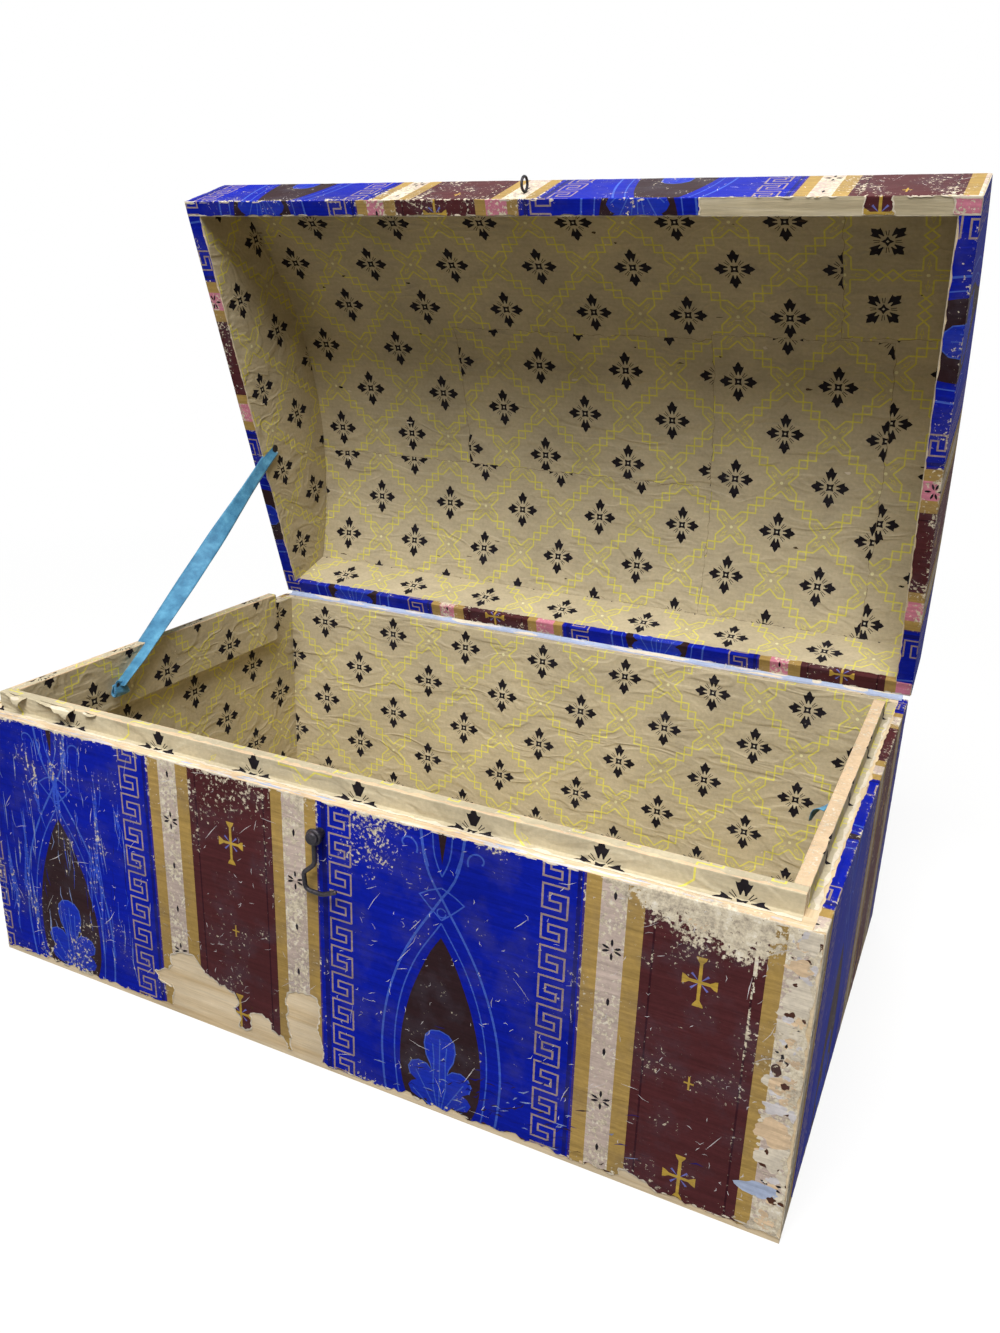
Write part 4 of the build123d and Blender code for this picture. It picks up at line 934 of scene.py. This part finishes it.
def backPaper():
    prints = papered(0, 0, boxLong, paperTall, 120, 0) + scratches(0, 0, boxLong, 190, 90, 61)
    outline = jagged(0, 0, boxLong, paperTall, 62, (0.5, 0.8, 1.5, 0.8))

    def place(u, v):
        return onBody(box["endX"] - u, box["backY"] + paper + 0.02, box["rim"] - v)
    sheet = paperSheet(outline, prints, place, (0, 1, 0), "blue", worn=edgeWear(boxLong, paperTall, 0.4))
    buildPiece("backWallpaper", [sheet], "box", "back_paper", wallpaperAlongX)


frontPaper()
endPaper(-1)
endPaper(1)
backPaper()

# The box's lining: where a floret stands on each sheet, and the bands of the lip's side and top along v
bodyLining = {
    "front": (31.5, 2.5), "back": (40.4, 19.2), "left": (200.4, 99.0), "right": (20, 60), "floor": (40.4, 20),
    "lipSide": 19, "lipTop": 26.9, "endLong": 348, "endLip": 312,
}


def lipSection(face, inward):
    # Rim, outer side of the lip, its top, inner side, step underneath and the wall down to the floor
    outer, wall, lip = (face + inward * step for step in (-paper, paper, box["lipThick"] + paper))
    rim, top, under = box["rim"] + paper, box["lipTop"] + paper, box["lipBottom"] - paper
    return [(face + inward * (paper - box["rimTurn"]), rim), (outer, rim), (outer, top), (lip, top), (lip, under),
            (wall, under), (wall, box["floor"] + paper)]


def wallSection(face, inward):
    rim, wall = box["rim"] + paper, face + inward * paper
    return [(face + inward * (paper - box["rimTurn"]), rim), (wall, rim), (wall, box["floor"] + paper)]


def liningWorn(low):
    # Rubbed at the rim, less so a few millimetres further down
    return lambda u, v: 0.35 * np.exp(-np.abs(v - low) / 6) + 0.05


def lipWear(length, start=0.0, whole=False):
    # The lip's top is rubbed to a warm smear and the rim to the pale core; v runs over the rim to 5.7,
    # up the lip's side to 18.1 and over its top to 26.9
    random = np.random.default_rng(int(length))
    count = int(length / 5)
    u = np.linspace(start, length, count)
    low, high = 17.6 + random.normal(0, 0.3, count), (26.2 if whole else 19.6) + random.normal(0, 0.8, count)
    inside = 25.6 + random.normal(0, 0.4, count)
    rim = 1.8 + np.abs(random.normal(0, 1.0, count))
    bands = [(low, high, "peach"), (inside, 26.8 + 0 * u, "peach"), (-1 + 0 * u, rim, "core")]
    return [(np.vstack([np.stack([u, a], 1), np.stack([u, b], 1)[::-1]]), ink) for a, b, ink in bands]


def frontLining():
    place, low, high, folds = overSection(lipSection(innerFront, 1), 0, lambda u, a, b: onBody(innerX - u, a, b))
    # The trellis has all but gone from the lip's outer side; the dark florets are left
    prints = [(rect(-1, low - 1, innerLong + 1, bodyLining["lipTop"]), "cream")]
    for shape, ink in liningPrints(0, low, innerLong, high, bodyLining["front"]):
        inLip = shape[:, 1].mean() > bodyLining["lipSide"]
        if ink == "black" or inLip or int(shape[:, 0].sum()) % 4 == 0:
            prints.append((shape, ink))
    outline = jagged(0, low, innerLong, high, 71, (0.8, 0.3, 0.3, 0.3))

    def worn(u, v):
        return 0.25 * np.exp(-np.abs(v - 22) / 4) + 0.15 * np.exp(-np.abs(v) / 3)
    sheet = paperSheet(outline, prints + lipWear(innerLong), place, (0, 1, 0.3), "tan", folds=folds, worn=worn)
    buildPiece("frontLining", [sheet], "box", "front_lining", liningPaper)


def backLining():
    place, low, high, folds = overSection(wallSection(innerBack, -1), 1, lambda u, a, b: onBody(u - innerX, a, b))
    prints = liningPrints(0, low, innerLong, high, bodyLining["back"])
    sheet = paperSheet(jagged(0, low, innerLong, high, 72, (0.6, 0, 0, 0)), prints, place, (0, -1, 0.1), "tan",
                       folds=folds, worn=liningWorn(low))
    buildPiece("backLining", [sheet], "box", "back_lining", liningPaper)


def endLining(side):
    # One part goes over the lip, which ends short of the back; a plain part goes on from there
    def put(u, a, b):
        return onBody(a, u + innerFront, b)
    start, middle, end = (y - innerFront for y in (box["lipFrontY"], box["lipBackY"], innerBack - paper))
    name, face, lipLong = sideName[side], side * innerX, bodyLining["endLip"]
    place, low, high, folds = overSection(lipSection(face, -side), 0, put)
    prints = [(rect(-1, low - 1, lipLong + 1, bodyLining["lipTop"]), "cream")]
    prints += liningPrints(0, low, bodyLining["endLong"], high, bodyLining[name], (1.04, 1.0))
    prints += lipWear(lipLong, 8, side > 0)
    if side > 0:
        # A painted shadow: a dark triangle on the lining under the right lip, below the ribbon stub
        prints.append((np.array([(113, 38), (121, 39), (116, 48)]), "shadow"))
    lipPart = paperSheet(jagged(start, low, middle, high, 73 + side, (0.8, 0, 0, 0)), prints, place,
                         (-side, 0, 0.3), "tan", folds=folds,
                         worn=lambda u, v: 0.35 * np.exp(-np.abs(v - 22) / 4) + 0.1)
    place, wallLow, wallHigh, folds = overSection(wallSection(face, -side), 1, put)
    plain = paperSheet(rect(middle, wallLow, end, wallHigh), shifted(prints, 0, wallHigh - high), place,
                       (-side, 0, 0.1), "tan", folds=folds, worn=liningWorn(wallLow))
    buildPiece(name + "Lining", [lipPart, plain], "box", name + "_lining", liningPaper)


def floorLining():
    deep = innerBack - innerFront
    prints = liningPrints(0, 0, innerLong, int(deep), bodyLining["floor"])

    def place(u, v):
        return onBody(u - innerX, innerBack - v, box["floor"] + paper)
    sheet = paperSheet(rect(0, 0, innerLong, deep), prints, place, (0, 0, 1), "tan", pitch=14)
    buildPiece("floorLining", [sheet], "box", "floor_lining", liningPaper)


frontLining()
backLining()
endLining(-1)
endLining(1)
floorLining()

# The lid's outer papers: phases in the pattern, and where the front rim's paper is torn off along u
lidPapers = {
    "edge": 0.3, "rimDown": 190, "frontRim": 1.4, "backRim": -2.6, "frontOuter": -11.6, "backOuter": 30,
    "outerDown": 100, "ends": {-1: 177.4, 1: 64.4}, "endDown": 150, "top": (30, 60),
    "bare": [(431, 534, 534, 431), (553, 588, 586, 553)], "turnedIn": 6.0,
}


def pinked(shapes):
    # On the lid's rim the pale stripes have gone pink
    return [(s, "pink" if ink == "taupe" else ink) for s, ink in shapes]


def mirrored(shapes, du=0):
    return [(s * (-1, 1) + (du, 0), ink) for s, ink in shapes]


def lidRailPaper(front):
    # Rim strip and outer strip; v is zero at the sharp edge between them and grows up the outer face
    way, name = (1, "front") if front else (-1, "back")
    look, within, below = lidPapers, lid[name + "Inner"], lid["rim"] - paper
    section = [(within, below), (lid[name] + way * paper, below), (lid[name] + way * paper, lid["railTop"])]
    if not front:
        section[:1] = [(within + 2 * paper, look["turnedIn"]), (within + 2 * paper, below)]
    place, low, high, folds = overSection(section, len(section) - 2,
                                          lambda u, a, b: onLid(way * (u - lid["endX"]), a, b))
    edge = look["edge"]
    rimPrints = papered(0, low, lidLong, edge, look[name + "Rim"] - lid["endX"], look["rimDown"])
    rimPrints = pinked(rimPrints if front else mirrored(rimPrints, lidLong))
    outerPhase = look["frontOuter"] - lid["endX"] if front else look["backOuter"]
    outerPrints = papered(0, edge, lidLong, high, outerPhase, look["outerDown"])
    outerPrints += scratches(0, edge, int(lidLong), high, 60, 81 + front)
    holes = []
    if front:
        for k, (a, b, c, d) in enumerate(look["bare"]):
            holes.append(ragged([(a, low - 1), (b, low - 1), (c, 0.2), (d, 0.2)], 1.6, 0.9, 85 + k))
        rimPrints += [(bareEdge(hole, 0.9), "core") for hole in holes]
    # Crumbs of core along the rim's edges, more of them near its ends
    random = np.random.default_rng(120 + front)
    for _ in range(90):
        places = [random.uniform(0, int(lidLong)), random.normal(4, 6), random.normal(598, 6)]
        u, v = random.choice(places, p=[0.5, 0.25, 0.25]), random.choice([0.2, -1.0, low + 0.5])
        shape = spot(u, v, random.uniform(0.8, 5), random.uniform(0.3, 1.0), abs(u) * 3)
        rimPrints.append((shape, "core"))

    # Over the whole outer strip a little more wear lightens it: partly wear, partly a painted sheen
    def worn(u, v):
        return 0.28 * np.exp(-np.abs(v) / 1.6) + 0.2 * np.exp(-np.abs(v - low) / 2) + 0.1 * (v > edge)
    rim = jagged(0, low, lidLong, edge, 83 + front, (0.5, 0.3, 0, 0.3))
    outer = jagged(0, edge, lidLong, high, 85 + front, (0, 0.5, 0.3, 0.5))
    facing = lidWay(float(way), -0.3)
    sheets = [paperSheet(rim, rimPrints, place, facing, "blue", holes=holes, folds=folds, worn=worn),
              paperSheet(outer, outerPrints, place, facing, "blue", folds=folds, worn=worn)]
    buildPiece(f"lid{name.title()}Wallpaper", sheets, "lid", f"lid_{name}_paper", wallpaperAlongX)


def archUp(forward, radius):
    # Height of a circle about the arch's centre
    return lid["archCentre"] + np.sqrt(radius ** 2 - (forward - lid["middle"]) ** 2)


def lidEndPaper(side):
    # Rim strip and the arched end; u is forward of the hinge, v grows up the end
    edge, phase, face = lidPapers["edge"], lidPapers["ends"][side], side * (lid["endX"] + paper)
    below = lid["rim"] - paper
    section = [(side * lid["endInner"], below), (face, below), (face, 140)]
    place, low, high, folds = overSection(section, 1, lambda u, a, b: onLid(a, u, b))
    down = lidPapers["endDown"]
    rimPrints = pinked(mirrored(papered(-380, low, 0, edge, phase, down)))
    endPrints = mirrored(papered(-380, edge, 0, 111, phase, down)) + scratches(0, 0, 376, 100, 60, 91 + side)
    forward = np.linspace(lid["back"], lid["front"], 40)
    top = archUp(forward, lid["archRadius"])
    curve = np.stack([forward, top - lid["rim"] + paper], 1)
    arch = np.vstack([[(lid["front"], edge), (lid["back"], edge)], curve])

    def worn(u, v):
        fromTop = np.abs(archUp(np.clip(u, 3, 376), lid["archRadius"]) - v)
        return 0.25 * np.exp(-np.abs(v) / 1.6) + 0.3 * np.exp(-fromTop / 4) + 0.06
    rim = jagged(lid["backInner"], low, lid["frontInner"], edge, 87 + side, (0.5, 0, 0, 0))
    sheets = [paperSheet(outline, prints, place, (side, 0, 0), "blue", folds=folds, worn=worn)
              for outline, prints in ((rim, rimPrints), (arch, endPrints))]
    name = sideName[side]
    buildPiece(f"lid{name.title()}Wallpaper", sheets, "lid", f"lid_{name}_paper", wallpaperAlongX)


def overArch(radius, first, last):
    # v walks the arch from its front edge to its back one: angle = start - v / radius about its centre
    start, end = (math.asin((forward - lid["middle"]) / radius) for forward in (first, last))

    def place(u, v):
        t = start - v / radius
        return onLid(u, lid["middle"] + radius * np.sin(t), lid["archCentre"] + radius * np.cos(t))
    return place, radius * (start - end)


def lidTopPaper():
    flat, length = overArch(lid["archRadius"] + paper, lid["front"], lid["back"])
    prints = papered(0, 0, lidLong, length, *lidPapers["top"]) + scratches(0, 0, int(lidLong), length, 200, 95)
    sheet = paperSheet(jagged(0, 0, lidLong, length, 96, (0.8, 0.6, 0.8, 0.6)), prints,
                       lambda u, v: flat(lid["endX"] - u, v), lidWay(0.0, 1.0), "blue",
                       folds=np.arange(7, length, 7), pitch=14, worn=edgeWear(int(lidLong), length, 0.4))
    buildPiece("lidTopWallpaper", [sheet], "lid", "lid_top_paper", wallpaperAlongX)


lidRailPaper(True)
lidRailPaper(False)
lidEndPaper(-1)
lidEndPaper(1)
lidTopPaper()

# The lining of the lid's top: window u0, v0, u1, v1, one floret's place, scale and angle of each sheet;
# later sheets lie over earlier ones
topSheets = [
    ((0, 0, 578.4, 371.3), (63.9, 110.0), (1.01, 1.03), -0.4),
    ((166, 128, 404, 262), (245.4, 160.4), (1.01, 1.03), 0.0),
    ((400, 124, 541, 371.3), (421, 164.0), (1.0, 1.04), -0.3),
    ((0, 258, 402, 371.3), (67.5, 301.0), (0.985, 1.0), -1.3),
    ((500, 0, 578.4, 122), (530.0, 40.0), (1.0, 1.0), 45.0),
]
topLap, topStep, topFold = 4, 0.05, 7


def lidTopLining():
    radius, ends = lid["archInner"] - paper, (lid["frontInner"], lid["backInner"])
    length = overArch(radius, *ends)[1]
    windows = [(u0, v0, u1, min(v1, length)) for (u0, v0, u1, v1), *_ in topSheets]
    outlines = [jagged(*window, 100 + k, [0.8 if k else 0] * 4) for k, window in enumerate(windows)]
    random = np.random.default_rng(140)
    sheets = []
    for k, (_, centre, scale, angle) in enumerate(topSheets):
        flat = overArch(radius - topStep * k, *ends)[0]
        u0, v0, u1, v1 = windows[k]
        prints = liningPrints(u0, v0, u1, v1, centre, scale, angle)
        prints += crumbs(random, int((u1 - u0) * (v1 - v0) / 5000), windows[k], (0.5, 3.5, 0.3, 1.2), 3,
                         ["grime", "core", "shadow"])
        # A painted shadow line just outside the edge of each later sheet that lies over this one
        prints += [(bareEdge(outline, 0.4), "seam") for outline in outlines[k + 1:]]
        # What a later sheet hides is cut away, but for its edge
        hidden = [rect(a + topLap, b + topLap, c - topLap, d - topLap) for a, b, c, d in windows[k + 1:]]
        sheets.append(paperSheet(outlines[k], prints, lambda u, v: flat(u - lid["endInner"], v),
                                 lidWay(0.0, -1.0), "tan", holes=hidden,
                                 folds=np.arange(v0 + topFold, v1, topFold), pitch=14))
    buildPiece("lidTopLining", sheets, "lid", "lid_top_lining", liningPaper, thick=0.12)


def lidEndLining(side):
    low, high, name = lid["backInner"] + paper, lid["frontInner"] - paper, sideName[side]
    forward = np.linspace(low, high, 40)
    top = archUp(forward, lid["archInner"] - paper) - lid["rim"]
    arch = np.vstack([[(high, 0), (low, 0)], np.stack([forward, top], 1)])

    def place(u, v):
        return onLid(side * (lid["endInner"] - paper), u, v + lid["rim"])
    sheet = paperSheet(arch, liningPrints(0, 0, 376, 112, (86, 62.9), (1.03, 1.0)), place, (-side, 0, 0), "tan")
    buildPiece(f"lid{name.title()}Lining", [sheet], "lid", f"lid_{name}_lining", liningPaper)


def lidRailLining(front):
    way, name, centre = (1, "front", (30, 20)) if front else (-1, "back", (45, 25))
    forward = lid[name + "Inner"] - way * paper
    top = archUp(forward, lid["archInner"] - paper) - lid["rim"]

    def place(u, v):
        return onLid(way * (lid["endInner"] - u), forward, v + lid["rim"])
    prints = liningPrints(0, 0, lidInnerLong, top, centre)
    sheet = paperSheet(rect(0, 0, lidInnerLong, top), prints, place, lidWay(-float(way), 0.0), "tan")
    buildPiece(f"lid{name.title()}Lining", [sheet], "lid", f"lid_{name}_lining", liningPaper)


lidTopLining()
lidEndLining(-1)
lidEndLining(1)
lidRailLining(True)
lidRailLining(False)
print("papers laid")

# Paper strip over the joint at the back: its section's reach on the box's rim and on the lid's
joint = {"rimFrom": 180.5, "rimEdge": 186.3, "lidRun": (2.4, 3.2, 5.0), "long": 592, "thick": 0.15}


def jointStrip():
    # Pasted flat on both rims and bridging between them; section points for the open lid, in order
    lift, below = box["rim"] + paper + 0.06, lid["rim"] - paper - 0.1
    edge, long = joint["rimEdge"], joint["long"]
    section = [(joint["rimFrom"], lift), (edge - 0.3, lift), (edge + 0.25, lift + 0.5),
               *(lidSection(forward, below) for forward in joint["lidRun"])]
    place, low, high, folds = overSection(section, 0, lambda u, a, b: onBody(u - long / 2, a, b), 0.5)
    prints = crumbs(np.random.default_rng(131), 60, (0, 0, long, high), (4, 22, 1, 3), 7,
                    ["core", "scratch", "cloud"])
    outline = jagged(0, 0, long, high, 132, (0.6, 0.3, 0.9, 0.3))
    sheet = paperSheet(outline, prints, place, (0, -1, 0.6), "cloud",
                       folds=folds, pitch=6, worn=lambda u, v: 0.15 + 0 * u)
    obj = buildPiece("jointStrip", [sheet], None, None, liningPaper, thick=joint["thick"])
    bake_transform(obj)
    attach(obj, "box")


jointStrip()

# Ribbon stay: ends, taut length and sag; along its run, from the lid down, its turn in degrees and width
ribbon = {
    "bodyEnd": (-275.7, -73.5, 187.4), "lidEnd": (-288.2, 157.1, 349.9), "taut": 282.4, "sag": 1.2,
    "turns": ([0, 0.12, 0.3, 0.5, 0.8, 1], [25, 20, 35, 66, 84, 90]),
    "widths": ([0, 0.06, 0.2, 0.4, 0.6, 0.9, 1], [12, 11, 11.5, 15, 17, 17, 13]),
    "thick": 0.5, "foldLong": 24, "foldAt": [0, 0.3, 0.5, 0.7, 1],
    "foldTurn": [0, 0, 0.5, 1, 1], "foldDown": [-3, 6.5, 9, 6.5, -3.5],
    "foldWidths": ([0, 0.3, 0.75, 1], [12, 15, 16, 9]),
    "stubLong": 17, "stubWidths": ([0, 0.5, 1], [14, 11, 2.5]),
}


def ribbonMaterial():
    # Plain-woven silk tape: fine ribs across its width, soft sheen, faded in places. Real ribs are
    # about 0.25 mm; these are drawn wider so that they show
    material, tree = newMaterial("wovenSilkTape")
    uv = addNode(tree, "UVMap", uv_map="strip")
    wave = addNode(tree, "TexWave", {"Vector": uv, "Scale": 0.4, "Distortion": 0.6, "Detail": 2.0},
                   bands_direction="X").outputs["Fac"]
    tone = addNode(tree, "TexNoise", {"Vector": uv, "Scale": 0.09, "Detail": 4.0, "Roughness": 0.6})
    fac = addNode(tree, "Math", {0: wave, 1: 0.22, 2: tone}, operation="MULTIPLY_ADD")
    colour = rampStops(addNode(tree, "ValToRGB", {"Fac": fac}),
                       [(0.25, "#164A68"), (0.55, "#2F7196"), (0.85, "#5C9EBE")])
    bump = addNode(tree, "Bump", {"Strength": 0.5, "Distance": 0.0002, "Height": wave})
    shader = addNode(tree, "BsdfPrincipled", {"Base Color": colour, "Roughness": 0.62, "Sheen Weight": 0.35,
                                              "Sheen Roughness": 0.4, "Normal": bump})
    addNode(tree, "OutputMaterial", {"Surface": shader})
    return material


silk = ribbonMaterial()


def stripMesh(name, centre, across, lengths, columns=9, uvWide=14):
    # A strip: at each step of the path its points lie along the across vector, xyz = centre + w * across
    w = np.linspace(-0.5, 0.5, columns)
    grid = centre[:, None, :] + w[None, :, None] * across[:, None, :]
    index = np.arange(len(centre) * columns).reshape(-1, columns)
    quads = np.stack([index[:-1, :-1], index[1:, :-1], index[1:, 1:], index[:-1, 1:]], -1).reshape(-1, 4)
    mesh = bpy.data.meshes.new(name)
    mesh.from_pydata((grid.reshape(-1, 3) * mm).tolist(), [], quads.tolist())
    layer = mesh.uv_layers.new(name="strip")
    uv = np.stack(np.broadcast_arrays(lengths[:, None], w[None, :] * uvWide), -1).reshape(-1, 2)
    layer.data.foreach_set("uv", uv[quads.ravel()].astype(np.float32).ravel())
    mesh.polygons.foreach_set("use_smooth", [True] * len(mesh.polygons))
    mesh.materials.append(silk)
    obj = bpy.data.objects.new(name, mesh)
    bpy.context.scene.collection.objects.link(obj)
    solid = obj.modifiers.new("thickness", "SOLIDIFY")
    solid.thickness, solid.offset = ribbon["thick"] * mm, 0
    return obj


def ribbonPiece():
    # Straight run from the lid to the lip with a slight sag; the tape turns about its own line and is
    # gathered at its ends
    a, b = np.array(ribbon["lidEnd"]), np.array(ribbon["bodyEnd"])
    t = np.linspace(0, 1, 70)
    sag = ribbon["sag"] * np.sin(np.pi * t)
    centre = a + (b - a) * t[:, None] - np.array([0, 0, 1]) * sag[:, None]
    run = (b - a) / np.linalg.norm(b - a)
    side = np.cross(run, [1, 0, 0])
    side /= np.linalg.norm(side)
    angle = np.radians(np.interp(t, *ribbon["turns"]))[:, None]
    across = np.cos(angle) * side + np.sin(angle) * np.cross(run, side)
    across *= np.interp(t, *ribbon["widths"])[:, None]
    obj = stripMesh("ribbonStay", centre, across, t * ribbon["taut"])
    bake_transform(obj)
    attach(obj, "box")
    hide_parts("ribbon")
    # Below the tack the end is folded back over itself, narrowing towards its corner
    f = np.linspace(0, 1, 26)
    fold = np.interp(f, ribbon["foldAt"], ribbon["foldTurn"]) * np.pi
    down = np.interp(f, ribbon["foldAt"], ribbon["foldDown"])
    out = 1.2 + 1.5 * (1 - np.cos(fold)) / 2 + 0.5 * np.sin(f * 19)
    lean = np.radians(12 - 34 * f)
    across = np.stack([0.14 * np.sin(f * 9), np.cos(lean), np.sin(lean)], 1)
    end = stripMesh("ribbonFold", b + np.stack([out - 0.5, 2.5 * f - 1, -down], 1),
                    across * np.interp(f, *ribbon["foldWidths"])[:, None], 282 + ribbon["foldLong"] * f)
    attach(end, "box")


def ribbonStub():
    # The torn end of the lost right-hand ribbon: a scrap fixed to the lip, its point hanging inward
    low, high = (np.array(c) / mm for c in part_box("ribbon_stub"))
    f = np.linspace(0, 1, 16)
    start = np.array([high[0] - 0.4, (low[1] + high[1]) / 2 + 14, high[2] + 4.5])
    bow = np.stack([-9 * f - 1.5 * np.sin(f * 3), 1.5 * f, -1 - 12 * f ** 1.8], 1)
    across = np.stack([0.12 + 0.3 * f, np.cos(0.5 * f), -0.3 * np.sin(3 * f)], 1)
    obj = stripMesh("ribbonStub", start + bow, across * np.interp(f, *ribbon["stubWidths"])[:, None],
                    ribbon["stubLong"] * f)
    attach(obj, "box")
    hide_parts("ribbon_stub")


ribbonPiece()
ribbonStub()
print("ribbon made")

# Torn lining curling off the lip's front left corner: start along the front, length, how far it stands
# off at its point, where the point is, turn in degrees
curls = [(-280, 20, 10.0, 0.75, 120), (-252, 38, 8.5, 0.9, 95), (-206, 13, 4.0, 0.3, 140)]
curlEdge = (innerFront - paper - 0.1, box["lipTop"] + paper + 0.15)


def curlSheet(seed, x, length, reach, point, turn):
    # A scrap leaves the lip's outer top edge and rolls outward on an arc, furthest at its point
    radius = reach / math.radians(turn)

    def place(u, v):
        t = v / radius
        away = 0.8 * np.sin(np.clip(u / length, 0, 1) * np.pi)
        y = curlEdge[0] - away - radius * np.sin(t) * 1.2
        z = curlEdge[1] + 0.2 + 0.5 * away - radius * (1 - np.cos(t)) + 0.3 * np.sin(u * 0.5)
        return onBody(x + u + 0.2 * v, y, z)
    scrap = [(0, -1.5), (length, -1.5), (length, 0.4), (length * point, reach),
             (length * point * 0.55, reach * 0.4), (length * 0.1, reach * 0.2)]
    # The crease where the scrap bends off the lip is a painted shade line in the dark grime ink; the pale spot is
    # worn core
    crease = [(length * 0.15, -0.4), (length * 0.5, 0.2), (length * 0.85, -0.3)]
    prints = [(spot(length * point * 0.8, reach * 0.3, length * 0.25, reach * 0.16, 160 + seed), "core"),
              (tapered(crease, 0.9, 0.3), "grime")]
    return paperSheet(ragged(scrap, 1.4, 0.25, 150 + seed), prints, place, (0, -0.5, 1), "cream", pitch=1.6)


def lipCurls():
    sheets = [curlSheet(k, *curl) for k, curl in enumerate(curls)]
    obj = buildPiece("lipCurls", sheets, "box", None, liningPaper, thick=0.2)
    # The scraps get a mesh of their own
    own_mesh(obj)


lipCurls()
